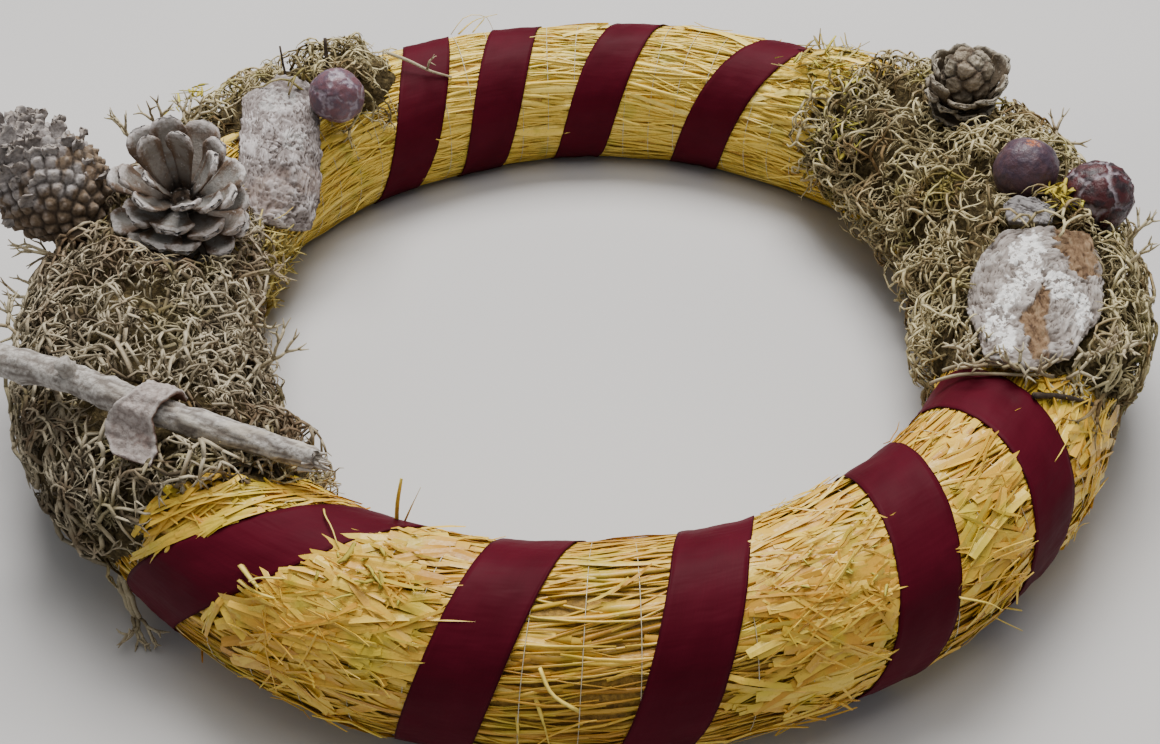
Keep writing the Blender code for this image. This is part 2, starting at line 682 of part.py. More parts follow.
def make_bark_strip():
    """The strip of bark folded over the twig, wider at its two hanging ends."""
    line = smooth_line(TWIG_LINE, TWIG_STEPS_PER_POINT)
    k = round(STRIP_ALONG * (len(line) - 1))
    middle = line[k][0]
    along = (line[k + 1][0] - line[k - 1][0]).normalized()
    side, up = across_to(along)
    side = side if side.y > 0 else -side
    up = up if up.z > 0 else -up
    loops, seat_loops = [], []
    count = len(STRIP_LINE)
    for i, ((across, height), half) in enumerate(STRIP_LINE):
        a, b = STRIP_LINE[max(i - 1, 0)][0], STRIP_LINE[min(i + 1, count - 1)][0]
        run = Vector((b[0] - a[0], b[1] - a[1])).normalized()
        out = side * -run.y + up * run.x
        centre = middle + side * across * MM + up * height * MM
        for found, extra, lift in ((loops, 0.0, 0.0), (seat_loops, TOUCH_GAP, STRIP_HEADROOM)):
            wide = along * (half * MM + extra)
            top = centre + out * (STRIP_THICKNESS / 2 + lift)
            base = centre - out * (STRIP_THICKNESS / 2 + extra)
            found.append([base - wide, base + wide, top + wide, top - wide])
    points, faces = loops_solid(loops)
    make_object("bark_strip", points, faces, (0.33, 0.27, 0.26), 0.85, 40)
    points, faces = loops_solid(seat_loops[:STRIP_SUNK_SECTIONS])
    return make_object("bark_strip_seat", points, faces, (0.33, 0.27, 0.26))


def turned_seat(obj, origin, axis, gap):
    """A turned cutter round an axis that clears an object's points by at least a gap."""
    axis = axis.normalized()
    side, up = across_to(axis)
    found = []
    for vertex in obj.data.vertices:
        reach = vertex.co - origin
        height = reach.dot(axis)
        found.append((height, (reach - axis * height).length))
    low = min(height for height, radius in found) - gap
    high = max(height for height, radius in found) + gap
    step = (high - low) / SEAT_LEVELS
    loops = []
    for k in range(SEAT_LEVELS + 1):
        level = low + k * step
        radius = max(r for h, r in found if abs(h - level) <= step) + gap
        radius /= math.cos(math.pi / SEAT_SIDES)
        loops.append([
            origin + axis * level + (side * math.cos(turn) + up * math.sin(turn)) * radius
            for turn in (2 * math.pi * s / SEAT_SIDES for s in range(SEAT_SIDES))
        ])
    points, faces = loops_solid(loops)
    return make_object(obj.name + "_seat", points, faces, (0.5, 0.5, 0.5))


def combine(obj, other, operation):
    """Boolean of obj with a guide object, which is then left out of the model."""
    other.hide_render = True
    other.display_type = "WIRE"
    modifier = obj.modifiers.new(other.name, "BOOLEAN")
    modifier.operation = operation
    modifier.solver = "MANIFOLD"
    modifier.object = other


def build():
    for old in list(bpy.data.objects):
        bpy.data.objects.remove(old, do_unlink=True)
    make_straw_ring("straw_ring")
    make_ribbon("ribbon_front", FRONT_BANDS)
    make_ribbon("ribbon_back", BACK_BANDS)
    open_cone = make_open_cone()
    closed_cone = make_closed_cone()
    small_cone = make_small_cone()
    ball_left = make_ball(
        "cypress_ball_left", BALL_LEFT_MIDDLE, BALL_LEFT_DIAMETER, Matrix.Rotation(0.5, 3, "X"),
        (0.16, 0.09, 0.12), BALL_SEAM_DEPTH,
    )
    ball_plum = make_ball(
        "cypress_ball_plum", BALL_PLUM_MIDDLE, BALL_PLUM_DIAMETER, Matrix.Rotation(0.9, 3, "Y"),
        (0.11, 0.06, 0.09), BALL_SEAM_DEPTH * 0.5,
    )
    ball_dark = make_ball(
        "cypress_ball_dark", BALL_DARK_MIDDLE, BALL_DARK_DIAMETER, Matrix.Rotation(1.3, 3, "X"),
        (0.07, 0.02, 0.03), BALL_SEAM_DEPTH,
    )
    left_seat, right_seat, chip_seat = make_bark_pieces()
    twig, twig_seat = make_twig()
    strip_seat = make_bark_strip()
    moss_left = make_moss("moss_left", MOSS_LEFT, 13, 12)
    moss_back = make_moss("moss_back_left", MOSS_BACK_LEFT, 8, 8)
    moss_right = make_moss("moss_right", MOSS_RIGHT, 14, 11)
    straw_seat = make_straw_ring("straw_seat", MOSS_LIFT)
    upright = Vector((0, 0, 1))
    open_seat = turned_seat(open_cone, OPEN_CONE_BASE, OPEN_CONE_AXIS, TOUCH_GAP)
    closed_seat = turned_seat(closed_cone, CLOSED_CONE_MIDDLE, CLOSED_CONE_AXIS, TOUCH_GAP)
    small_seat = turned_seat(small_cone, SMALL_CONE_BASE, SMALL_CONE_AXIS, TOUCH_GAP)
    ball_left_seat = turned_seat(ball_left, BALL_LEFT_MIDDLE, upright, TOUCH_GAP)
    ball_plum_seat = turned_seat(ball_plum, BALL_PLUM_MIDDLE, upright, TOUCH_GAP)
    ball_dark_seat = turned_seat(ball_dark, BALL_DARK_MIDDLE, upright, TOUCH_GAP)
    for moss, seats in (
        (moss_left, (straw_seat, open_seat, closed_seat, left_seat, twig_seat, strip_seat)),
        (moss_back, (straw_seat, left_seat, ball_left_seat)),
        (moss_right, (straw_seat, small_seat, ball_plum_seat, ball_dark_seat, right_seat, chip_seat)),
    ):
        for seat in seats:
            combine(moss, seat, "DIFFERENCE")


build()
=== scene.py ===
"""Looks of the christmas wreath: straw, satin ribbon, lichen moss, cones, bark and a twig.

Shapes are worked out in millimetres about the ring's centre, +Z up, and made in metres. Theta
runs round the ring from +X towards +Y, and phi round the straw tube, both in degrees: phi is 0
on the tube's outer side, 90 on its top, 180 on its inner side and 270 on its underside.
"""
import math

import bmesh
import bpy
import numpy as np
from mathutils import Matrix, Vector
from mathutils.bvhtree import BVHTree


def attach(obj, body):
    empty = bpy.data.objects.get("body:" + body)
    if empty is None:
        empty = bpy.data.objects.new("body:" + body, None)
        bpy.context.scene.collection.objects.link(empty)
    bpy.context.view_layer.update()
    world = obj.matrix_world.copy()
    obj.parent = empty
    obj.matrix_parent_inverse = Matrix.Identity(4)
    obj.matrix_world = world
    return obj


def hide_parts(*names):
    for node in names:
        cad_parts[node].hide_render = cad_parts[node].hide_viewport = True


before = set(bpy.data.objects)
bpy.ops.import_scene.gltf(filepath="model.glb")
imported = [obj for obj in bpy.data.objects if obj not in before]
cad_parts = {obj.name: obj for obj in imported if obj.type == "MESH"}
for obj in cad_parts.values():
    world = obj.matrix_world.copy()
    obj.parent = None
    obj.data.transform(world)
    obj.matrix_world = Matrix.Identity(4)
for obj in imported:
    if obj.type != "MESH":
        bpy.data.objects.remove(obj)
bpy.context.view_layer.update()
MM = 0.001


# The straw ring, as in the solids. Lumps are waves of (share, number round the ring, number round
# the tube, start); wound arcs are where ribbon passes below.
RING_CENTRE = np.array([6.3, 0.3, 0.0])
RING_RADIUS = 170.0
TUBE_HALF_WIDTH = 29.5
TUBE_HALF_HEIGHT = 31.5
TUBE_RADIUS = 30.5
TUBE_CENTRE_HEIGHT = 28.5
LUMP_HEIGHT = 0.7
LUMP_WAVES = ((0.6, 7, 0, 0.6), (0.4, 12, 2, 1.9))
WOUND_ARCS = ((38, 140), (210, 339))
WOUND_FLOOR = 1.5
WOUND_EASE = 4
LEAST_HEIGHT = 0.2

# The camera, fitted to the ring's outline in the photo
CAMERA_PLACE = np.array([-2.38, -417.07, 346.92])
CAMERA_RIGHT = (0.99900558, -0.02889273, -0.03395662)
CAMERA_UP = (0.04458522, 0.64738941, 0.76085419)
CAMERA_LENS_MM = 41.209
CAMERA_SENSOR_MM = 36.0


# Helpers for shapes

NOISE_WAVES = 5
NOISE_SPREAD = (0.6, 1.4)
NOISE_REACH = 2.2
NOISE_FADE = 0.55
NOISE_SHRINK = 2.1
NEARLY_UPRIGHT = 0.9999


def unit(vectors):
    """Vectors along the last axis, at length one."""
    vectors = np.asarray(vectors, float)
    return vectors / np.maximum(np.linalg.norm(vectors, axis=-1, keepdims=True), 1e-9)


def across_to(axis):
    """Two unit directions square to an axis, the first one level."""
    axis = unit(axis)
    upright = abs(axis[2]) >= NEARLY_UPRIGHT
    first = np.array([1.0, 0, 0]) if upright else unit(np.cross((0, 0, 1), axis))
    return first, unit(np.cross(axis, first))


def round_axis(axis, turn):
    """The unit direction square to an axis at a turn round it in radians, or at many turns."""
    first, second = across_to(axis)
    return np.multiply.outer(np.cos(turn), first) + np.multiply.outer(np.sin(turn), second)


def noise(points, size, seed=0, octaves=3):
    """Smooth unevenness of about -1 to 1 at points, its features about the given size in mm."""
    rng = np.random.default_rng(seed)
    points = np.asarray(points, float)
    total = np.zeros(points.shape[:-1])
    weight, reach = 1.0, 0.0
    for _ in range(octaves):
        for _ in range(NOISE_WAVES):
            direction = unit(rng.normal(size=3)) * 2 * math.pi / size * rng.uniform(*NOISE_SPREAD)
            total += weight * np.sin(points @ direction + rng.uniform(0, 2 * math.pi))
        reach += weight * NOISE_REACH
        weight *= NOISE_FADE
        size /= NOISE_SHRINK
    return total / reach


def flat_points(u, s):
    """Points in a plane, for noise over it."""
    return np.stack([u, s, 0 * u], -1)


def nearest_two(points, centres):
    """Distance from each point to its nearest and second nearest centre, and the nearest one."""
    squares = (points**2).sum(1)[:, None] + (centres**2).sum(1)[None] - 2 * points @ centres.T
    squares = np.maximum(squares, 0)
    order = np.argpartition(squares, 1, axis=1)[:, :2]
    found = np.take_along_axis(squares, order, 1)
    swap = found[:, 0] > found[:, 1]
    found[swap] = found[swap][:, ::-1]
    order[swap] = order[swap][:, ::-1]
    return np.sqrt(found[:, 0]), np.sqrt(found[:, 1]), order[:, 0]


def ramp(values, low, high):
    """Smooth step from 0 at low to 1 at high."""
    share = np.clip((values - low) / (high - low), 0, 1)
    return share * share * (3 - 2 * share)


def smooth_curve(keys, x):
    """Smooth curve through (x, value) pairs, flat beyond its ends, at many x."""
    at, value = np.array(keys, float).T
    slope = np.empty(len(at))
    slope[1:-1] = (value[2:] - value[:-2]) / (at[2:] - at[:-2])
    slope[0] = (value[1] - value[0]) / (at[1] - at[0])
    slope[-1] = (value[-1] - value[-2]) / (at[-1] - at[-2])
    x = np.clip(x, at[0], at[-1])
    k = np.clip(np.searchsorted(at, x, side="right") - 1, 0, len(at) - 2)
    span = at[k + 1] - at[k]
    t = (x - at[k]) / span
    return (
        (2 * t**3 - 3 * t**2 + 1) * value[k]
        + (t**3 - 2 * t**2 + t) * span * slope[k]
        + (3 * t**2 - 2 * t**3) * value[k + 1]
        + (t**3 - t**2) * span * slope[k + 1]
    )


def smooth_columns(keys, steps):
    """A smooth curve through each column of keys, at even steps from the first to the last."""
    x = np.linspace(0, len(keys) - 1, steps)
    return [smooth_curve(list(enumerate(column)), x) for column in zip(*keys)]


def run_along(points):
    """How far each point of a line lies along it."""
    return np.concatenate([[0], np.cumsum(np.linalg.norm(np.diff(points, axis=0), axis=1))])


def lump(theta, phi):
    """Unevenness in mm of the straw tube, as in the solids."""
    t, p = np.radians(theta), np.radians(phi)
    waves = (share * np.sin(long * t + wide * p + start) for share, long, wide, start in LUMP_WAVES)
    return LUMP_HEIGHT * sum(waves)


def ring_distance(phi, lift=0.0):
    """Distance in mm from the ring's axis, lumps left out."""
    return RING_RADIUS + (TUBE_RADIUS + lift) * np.cos(np.radians(phi))


def straw_floor(theta):
    """Height of the straw's flat underside: 0, and a little more where ribbon passes below."""
    theta = np.mod(theta, 360)
    inside = np.max([np.minimum(theta - low, high - theta) for low, high in WOUND_ARCS], axis=0)
    return WOUND_FLOOR * np.clip(inside / WOUND_EASE, 0, 1)


def tube(theta, phi, lift):
    """Points at a height in mm above the straw's surface, with the underside pressed flat."""
    theta, phi, lift = np.broadcast_arrays(theta, phi, lift)
    t, p = np.radians(theta), np.radians(phi)
    swell = lift + lump(theta, phi)
    rho = RING_RADIUS + (TUBE_HALF_WIDTH + swell) * np.cos(p)
    z = TUBE_CENTRE_HEIGHT + (TUBE_HALF_HEIGHT + swell) * np.sin(p)
    z = np.maximum(z, np.maximum(straw_floor(theta) - lift, LEAST_HEIGHT))
    return np.stack([rho * np.cos(t), rho * np.sin(t), z], axis=-1)


def along_ring(theta, phi, distance, lift=0.0):
    """Theta after going a distance in mm round the ring."""
    return theta + np.degrees(distance / ring_distance(phi, lift))


def round_tube(phi, distance, lift=0.0):
    """Phi after going a distance in mm round the tube."""
    return phi + np.degrees(distance / (TUBE_RADIUS + lift))


# Helpers for meshes

LOWEST = 0.05
SLANTED_UP = (0.31, 0.23, 0.92)


def make_piece(name, points, faces, material, fields=None, smooth=True):
    """A mesh from points in millimetres about the ring's centre and arrays of face corners."""
    faces = [np.asarray(f, np.int32) for f in faces if len(f)]
    counts = np.concatenate([np.full(len(f), f.shape[1], np.int32) for f in faces])
    corners = np.concatenate([f.ravel() for f in faces])
    starts = np.concatenate([[0], np.cumsum(counts)[:-1]]).astype(np.int32)
    points = np.array(points, float)
    points[:, 2] = np.maximum(points[:, 2], LOWEST)
    mesh = bpy.data.meshes.new(name)
    mesh.vertices.add(len(points))
    mesh.vertices.foreach_set("co", ((points + RING_CENTRE) * MM).ravel())
    mesh.loops.add(len(corners))
    mesh.loops.foreach_set("vertex_index", corners)
    mesh.polygons.add(len(counts))
    mesh.polygons.foreach_set("loop_start", starts)
    mesh.polygons.foreach_set("use_smooth", np.full(len(counts), smooth))
    mesh.update(calc_edges=True)
    for field, values in (fields or {}).items():
        layer = mesh.attributes.new(field, "FLOAT", "POINT")
        layer.data.foreach_set("value", np.asarray(values, np.float32).ravel())
    mesh.materials.append(material)
    obj = bpy.data.objects.new(name, mesh)
    bpy.context.scene.collection.objects.link(obj)
    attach(obj, "root")
    return obj


def grid_faces(rows, columns, wrap=False):
    """Quads of a grid of points, open or closed round its columns."""
    index = np.arange(rows * columns).reshape(rows, columns)
    if wrap:
        index = np.hstack([index, index[:, :1]])
    a, b, c, d = index[:-1, :-1], index[:-1, 1:], index[1:, 1:], index[1:, :-1]
    return np.stack([a, b, c, d], -1).reshape(-1, 4)


def closed_faces(rows, columns):
    """Faces of rows of points, each closed round, with the first and the last row filled."""
    row = np.arange(columns)[None]
    return [grid_faces(rows, columns, wrap=True), row[:, ::-1], row + (rows - 1) * columns]


def slab(upper, lower):
    """Points, faces and size of a thin strip, from the rows of its upper and its lower side."""
    loops = np.concatenate([upper, lower[:, ::-1]], axis=1)
    rows, columns = loops.shape[:2]
    return loops.reshape(-1, 3), closed_faces(rows, columns), rows, columns


def tubes(paths, radii, sides=3, ups=None, flatness=1.0):
    """Points and faces of closed tubes along paths (count, steps, 3) with radii (count, steps)."""
    count, steps, _ = paths.shape
    along = unit(np.gradient(paths, axis=1))
    if ups is None:
        ups = np.broadcast_to(unit(SLANTED_UP), paths.shape)
    side = unit(np.cross(along, ups))
    up = np.cross(side, along)
    turn = (2 * math.pi * np.arange(sides) / sides)[:, None]
    ring = np.cos(turn) * side[:, :, None] + flatness * np.sin(turn) * up[:, :, None]
    points = (paths[:, :, None] + radii[:, :, None, None] * ring).reshape(-1, 3)
    index = np.arange(count * steps * sides).reshape(count, steps, sides)
    after = np.roll(index, -1, axis=2)
    walls = np.stack([index[:, :-1], index[:, 1:], after[:, 1:], after[:, :-1]], -1)
    return points, [walls.reshape(-1, 4), index[:, 0], index[:, -1, ::-1]]


class Gather:
    """Several shapes gathered into one mesh, with their fields."""

    def __init__(self):
        self.points, self.faces, self.fields, self.size = [], [], {}, 0

    def add(self, points, faces, **fields):
        """Another shape, with its fields as single values or one a point."""
        self.points.append(points)
        self.faces += [np.asarray(f) + self.size for f in faces]
        for name, values in fields.items():
            values = np.broadcast_to(values, (len(points),))
            self.fields.setdefault(name, []).append(values)
        self.size += len(points)

    def make(self, name, material, smooth=True):
        """The piece made of everything gathered."""
        fields = {field: np.concatenate(values) for field, values in self.fields.items()}
        return make_piece(name, np.vstack(self.points), self.faces, material, fields, smooth)


# Helpers for materials

NOISE_ROUGHNESS = 0.6


def rgb(red, green, blue):
    """Linear colour from 0 to 255 display values."""
    linear = [
        v / 12.92 if v <= 0.04045 else ((v + 0.055) / 1.055) ** 2.4
        for v in (red / 255, green / 255, blue / 255)
    ]
    return (*linear, 1.0)


class Look:
    """A Principled material wired from noise and from the mesh's own fields. Colours are tuples
    of 0 to 255 display values."""

    def __init__(self, name, roughness=0.8, specular=0.4, anisotropic=0.0):
        self.material = bpy.data.materials.new(name)
        self.material.use_nodes = True
        self.nodes = self.material.node_tree.nodes
        self.links = self.material.node_tree.links
        self.shader = self.nodes["Principled BSDF"]
        self.shader.inputs["Roughness"].default_value = roughness
        self.shader.inputs["Specular IOR Level"].default_value = specular
        self.shader.inputs["Anisotropic"].default_value = anisotropic
        self.place = self.nodes.new("ShaderNodeTexCoord").outputs["Object"]
        self.colour = None

    def put(self, node, socket, value):
        """Wires an output into a node's socket, or sets the socket to a colour or a number."""
        if isinstance(value, bpy.types.NodeSocket):
            self.links.new(value, node.inputs[socket])
        else:
            node.inputs[socket].default_value = rgb(*value) if isinstance(value, tuple) else value

    def field(self, name):
        """A field of the mesh."""
        node = self.nodes.new("ShaderNodeAttribute")
        node.attribute_name = name
        return node.outputs["Fac"]

    def noise(self, size_mm, detail=4.0, stretch=(1, 1, 1)):
        """Noise of 0 to 1 with features of the given size."""
        mapping = self.nodes.new("ShaderNodeMapping")
        mapping.inputs["Scale"].default_value = stretch
        self.links.new(self.place, mapping.inputs["Vector"])
        node = self.nodes.new("ShaderNodeTexNoise")
        node.inputs["Scale"].default_value = 1 / (size_mm * MM)
        node.inputs["Detail"].default_value = detail
        node.inputs["Roughness"].default_value = NOISE_ROUGHNESS
        self.links.new(mapping.outputs["Vector"], node.inputs["Vector"])
        return node.outputs["Fac"]

    def maths(self, operation, first, second=0.0):
        """The result of a sum on values."""
        node = self.nodes.new("ShaderNodeMath")
        node.operation = operation
        self.put(node, 0, first)
        self.put(node, 1, second)
        return node.outputs[0]

    def times(self, value, number):
        """A value multiplied by a number or by another value."""
        return self.maths("MULTIPLY", value, number)

    def plus(self, value, other, number=None):
        """A value plus another, or plus a multiple of it."""
        return self.maths("ADD", value, other if number is None else self.times(other, number))

    def step(self, value, low, high, to_low=0.0, to_high=1.0):
        """A value mapped smoothly from one range to another."""
        node = self.nodes.new("ShaderNodeMapRange")
        node.interpolation_type = "SMOOTHSTEP"
        self.put(node, "Value", value)
        numbers = {"From Min": low, "From Max": high, "To Min": to_low, "To Max": to_high}
        for socket, number in numbers.items():
            node.inputs[socket].default_value = number
        return node.outputs["Result"]

    def colours(self, value, *stops):
        """Colours along a value, as (position, colour) stops."""
        node = self.nodes.new("ShaderNodeValToRGB")
        elements = node.color_ramp.elements
        first, *between, last = [(position, rgb(*colour)) for position, colour in stops]
        elements[0].position, elements[0].color = first
        elements[1].position, elements[1].color = last
        for position, colour in between:
            elements.new(position).color = colour
        self.put(node, "Fac", value)
        return node.outputs["Color"]

    def mix(self, share, first, second):
        """The first colour, or the second where the share is 1."""
        node = self.nodes.new("ShaderNodeMix")
        node.data_type = "RGBA"
        self.put(node, 0, share)
        self.put(node, 6, first)
        self.put(node, 7, second)
        return node.outputs[2]

    def paint(self, value, *stops):
        """Begins the colour as colours along a value."""
        self.colour = self.colours(value, *stops)

    def tint(self, colour, value, low=None, high=None, most=1.0, least=0.0):
        """Lays a colour over the colour so far, by a share or as a value goes from low to high."""
        share = value if low is None else self.step(value, low, high, least, most)
        self.colour = self.mix(share, self.colour, colour)

    def bump(self, height, distance_mm, strength=1.0):
        """Raises the surface by a value."""
        node = self.nodes.new("ShaderNodeBump")
        node.inputs["Distance"].default_value = distance_mm * MM
        node.inputs["Strength"].default_value = strength
        self.put(node, "Height", height)
        self.links.new(node.outputs["Normal"], self.shader.inputs["Normal"])

    def set(self, roughness=None):
        """The finished material, with the colour so far and a varied roughness if one is given."""
        self.put(self.shader, "Base Color", self.colour)
        if roughness is not None:
            self.put(self.shader, "Roughness", roughness)
        return self.material


# What the pieces rest on and keep clear of

ORNAMENTS = (
    "pine_cone_open", "pine_cone_closed", "cone_small", "cypress_ball_left", "cypress_ball_plum",
    "cypress_ball_dark", "bark_plate_left", "bark_plate_right", "bark_chip", "bark_strip", "twig",
)


def ornament_hulls():
    """One search tree of the hulls of all ornaments, in mm about the ring's centre."""
    whole = bmesh.new()
    for name in ORNAMENTS:
        shape = bmesh.new()
        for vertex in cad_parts[name].data.vertices:
            shape.verts.new(Vector(vertex.co / MM) - Vector(RING_CENTRE))
        hull = bmesh.ops.convex_hull(shape, input=shape.verts)
        bmesh.ops.delete(shape, geom=hull["geom_interior"], context="VERTS")
        bmesh.ops.recalc_face_normals(shape, faces=shape.faces)
        part = bpy.data.meshes.new(name + "_hull")
        shape.to_mesh(part)
        whole.from_mesh(part)
        bpy.data.meshes.remove(part)
        shape.free()
    tree = BVHTree.FromBMesh(whole)
    whole.free()
    return tree


HULLS = ornament_hulls()


def hull_distance(points):
    """Distance in mm from points to the nearest ornament's hull, below zero inside it."""
    found = np.empty(len(points))
    for i, point in enumerate(points):
        near, normal, _, distance = HULLS.find_nearest(Vector(point))
        inside = (Vector(point) - near).dot(normal) < 0
        found[i] = -distance if inside else distance
    return found


# Ribbon

RIBBON_WIDTH = 22.0
RIBBON_THICKNESS = 0.35
RIBBON_LIFT = 0.85
RIBBON_STEP = 4.0
RIBBON_ACROSS = 13
RIBBON_WAVE = 0.3
RIBBON_CREASE = 0.12
RIBBON_CUP = 0.15
FRONT_BANDS = (
    ((-15, 224.5), (90, 239.6), (150, 247)),
    ((-18, 255.5), (90, 261.4), (150, 264.5)),
    ((-18, 274), (90, 280.9), (150, 285.5)),
    ((-18, 296.3), (90, 303.1), (150, 307)),
    ((-18, 313.5), (90, 320.7), (150, 324.5)),
)
BACK_BANDS = (
    ((-18, 50), (90, 56.4), (200, 65.5)),
    ((-18, 75), (90, 80.4), (200, 88.2)),
    ((-18, 94.5), (90, 99.3), (200, 107.1)),
    ((-18, 109.5), (90, 113.5), (200, 123.8)),
)


def ribbon_keys(bands):
    """The (phi, theta) pairs that a ribbon's middle line passes through, over all its turns."""
    keys = [(phi + 360 * turn, theta) for turn, band in enumerate(bands) for phi, theta in band]
    return [(-90, keys[0][1])] + keys + [(360 * len(bands) - 90, keys[-1][1] + 1)]


def under_ribbon(theta, phi):
    """How far points are pressed by ribbon: 1 below it, falling to 0 a few mm beside it."""
    theta, phi = np.broadcast_arrays(np.mod(theta, 360), np.mod(np.asarray(phi) + 90, 360) - 90)
    rho = ring_distance(phi)
    pressed = np.zeros(theta.shape)
    for bands in (FRONT_BANDS, BACK_BANDS):
        keys = ribbon_keys(bands)
        for turn in range(len(bands)):
            middle = smooth_curve(keys, phi + 360 * turn)
            beside = np.abs(np.radians(theta - middle)) * rho - RIBBON_WIDTH / 2
            pressed = np.maximum(pressed, 1 - ramp(beside, 0.5, 4.0))
    return pressed


def satin_look():
    """Burgundy satin: fine ribs along the ribbon, corded edges, and faint creases across it."""
    look = Look("burgundy_satin", specular=0.04, anisotropic=0.3)
    place = look.nodes.new("ShaderNodeCombineXYZ")
    look.put(place, "X", look.times(look.field("along"), MM))
    look.put(place, "Y", look.times(look.field("across"), RIBBON_WIDTH / 2 * MM))
    look.place = place.outputs["Vector"]
    ribs = look.noise(0.5, 2, stretch=(0.06, 1, 1))
    creases = look.noise(9, 3, stretch=(1, 0.25, 1))
    edge = look.step(look.maths("ABSOLUTE", look.field("across")), 0.93, 0.97)
    look.paint(look.noise(30, 3), (0.3, (70, 12, 25)), (0.7, (86, 17, 33)))
    look.tint((56, 9, 20), look.times(ribs, 0.35))
    look.tint((52, 10, 20), look.times(edge, 0.5))
    height = look.plus(look.times(ribs, 0.06), creases, 0.9)
    look.bump(look.plus(height, edge, 0.2), 0.5)
    return look.set(look.step(creases, 0.2, 0.8, 0.46, 0.6))


def make_ribbon(name, bands, material):
    """A satin ribbon wound through its bands, pressed on to the straw."""
    keys = ribbon_keys(bands)
    phi = np.arange(keys[0][0], keys[-1][0] + 0.1, RIBBON_STEP)
    theta = smooth_curve(keys, phi)
    slope = smooth_curve(keys, phi + 1) - smooth_curve(keys, phi - 1)
    rho = ring_distance(phi)
    skew = rho * slope / 2 / TUBE_RADIUS
    half = np.degrees(RIBBON_WIDTH / 2 * np.hypot(1, skew) / rho)
    across = np.linspace(-1, 1, RIBBON_ACROSS)
    along = run_along(tube(theta, phi, RIBBON_LIFT))
    flat = flat_points(*np.broadcast_arrays(along[:, None], RIBBON_WIDTH / 2 * across))
    wave = RIBBON_WAVE * noise(flat, 16, seed=4)
    wave += RIBBON_CREASE * noise(flat * (1, 2.5, 1), 6, seed=5)
    lift = RIBBON_LIFT + wave + RIBBON_CUP * np.abs(across) ** 3
    theta, phi = theta[:, None] + half[:, None] * across, phi[:, None]
    points, faces, rows, columns = slab(tube(theta, phi, lift + RIBBON_THICKNESS), tube(theta, phi, lift))
    fields = {
        "along": np.repeat(along, columns),
        "across": np.tile(np.concatenate([across, across[::-1]]), rows),
    }
    ribbon = make_piece(name, points, faces, material, fields)
    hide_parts(name.replace("satin", "ribbon"))


# Moss mats, as rows of (theta, lowest phi, highest phi, thickness in mm), as in the solids

MOSS_ROOT = 3.0
MATS = {
    "moss_left": (
        (159, 90, 150, -3), (163, 55, 175, 6), (170, 2, 192, 11), (180, -32, 202, 14), (195, -44, 210, 16),
        (207, -44, 210, 14), (214, -38, 204, 11), (220, -6, 196, 9), (226, 38, 184, 7), (230, 66, 172, 5),
        (234, 86, 160, -3),
    ),
    "moss_back_left": (
        (119, 20, 115, -3), (122, 10, 125, 8), (127, -4, 145, 11), (134, -15, 125, 12), (146, -15, 102, 10),
        (154, -8, 90, 7), (159, 10, 80, -3),
    ),
    "moss_right": (
        (-32.5, 75, 140, -3), (-29, 45, 160, 7), (-25.5, 8, 188, 10), (-20, -20, 206, 12),
        (-12, -36, 210, 13), (4, -40, 210, 14), (18, -37, 210, 13), (32, -27, 206, 11),
        (43, 15, 190, 8), (49, 50, 165, 5), (52, 65, 150, -3),
    ),
}


def mat_height(rows, theta, phi):
    """Height of a mat above the straw in mm at points; below zero beyond its edge."""
    at, low, high, thick = np.array(rows, float).T
    theta = np.mod(theta - at[0] + 90, 360) + at[0] - 90
    low, high = np.interp(theta, at, low), np.interp(theta, at, high)
    thick = np.interp(theta, at, thick)
    across = 2 * (phi - low) / (high - low) - 1
    crown = np.maximum(1 - across**4, 0)
    outside = (theta < at[0]) | (theta > at[-1])
    return np.where(outside, -MOSS_ROOT, (thick + MOSS_ROOT) * crown - MOSS_ROOT)


def moss_over(theta, phi):
    """Height in mm of whatever mat lies at points."""
    return np.max([mat_height(rows, theta, phi) for rows in MATS.values()], axis=0)


# Where straw, not lichen, lies over the end of a mat: theta of the boundary at values of phi

STRAW_ZONE_RIGHT = ((20, 38), (85, 38.6), (130, 43.3), (150, 43.5), (206, 43))
STRAW_ZONE_LEFT = ((30, 225), (68, 225.5), (99, 230.8), (120, 234), (190, 236))
STRAW_ZONE_REACH = 30
CARRIED_SHARE = 0.8


def straw_zone(theta, phi, margin=0.0):
    """Whether points lie beyond a mat's lichen, on the straw over or past its end."""
    theta, phi = np.broadcast_arrays(np.mod(theta, 360), phi)
    right = theta - np.interp(phi, *np.array(STRAW_ZONE_RIGHT).T)
    left = theta - np.interp(phi, *np.array(STRAW_ZONE_LEFT).T)
    return np.any([(far > margin) & (far < STRAW_ZONE_REACH) for far in (right, left)], axis=0)


def straw_base(theta, phi):
    """Height in mm that straw is carried to by the end of a mat below it."""
    return np.where(straw_zone(theta, phi, -1.0), np.maximum(moss_over(theta, phi), 0) * CARRIED_SHARE, 0)


# Straw

THREAD_PITCH = 4.87
THREAD_RADIUS = 0.17
PINCH_DEPTH = 0.55
PINCH_WIDTH = 2.6
MM_IN_DEGREE = 3.0
HIDDEN_BELOW_MOSS = 2.0
PRESSED_BY_RIBBON = 0.8
STRAW_WOBBLE = 0.2
# Stalks towards the back of the ring are made paler by the second share: painted light.
STRAW_TONE, BACK_PAINTED_LIGHT = 0.78, 0.62
THREAD_STEP = 12.0
UNDERSIDE_STRAWS, UNDERSIDE = 110, (246, 294)
LEFT_END_STRAWS, LEFT_END, LEFT_END_PHI = 90, (225, 237), (40, 150)
MESSY_ARCS = np.array(((238, 259), (284, 301), (305, 330)))
TORN_MIDDLE, TORN_SPREAD = 52, 44
OUTSIDE_TO_TOP = (40, 100)

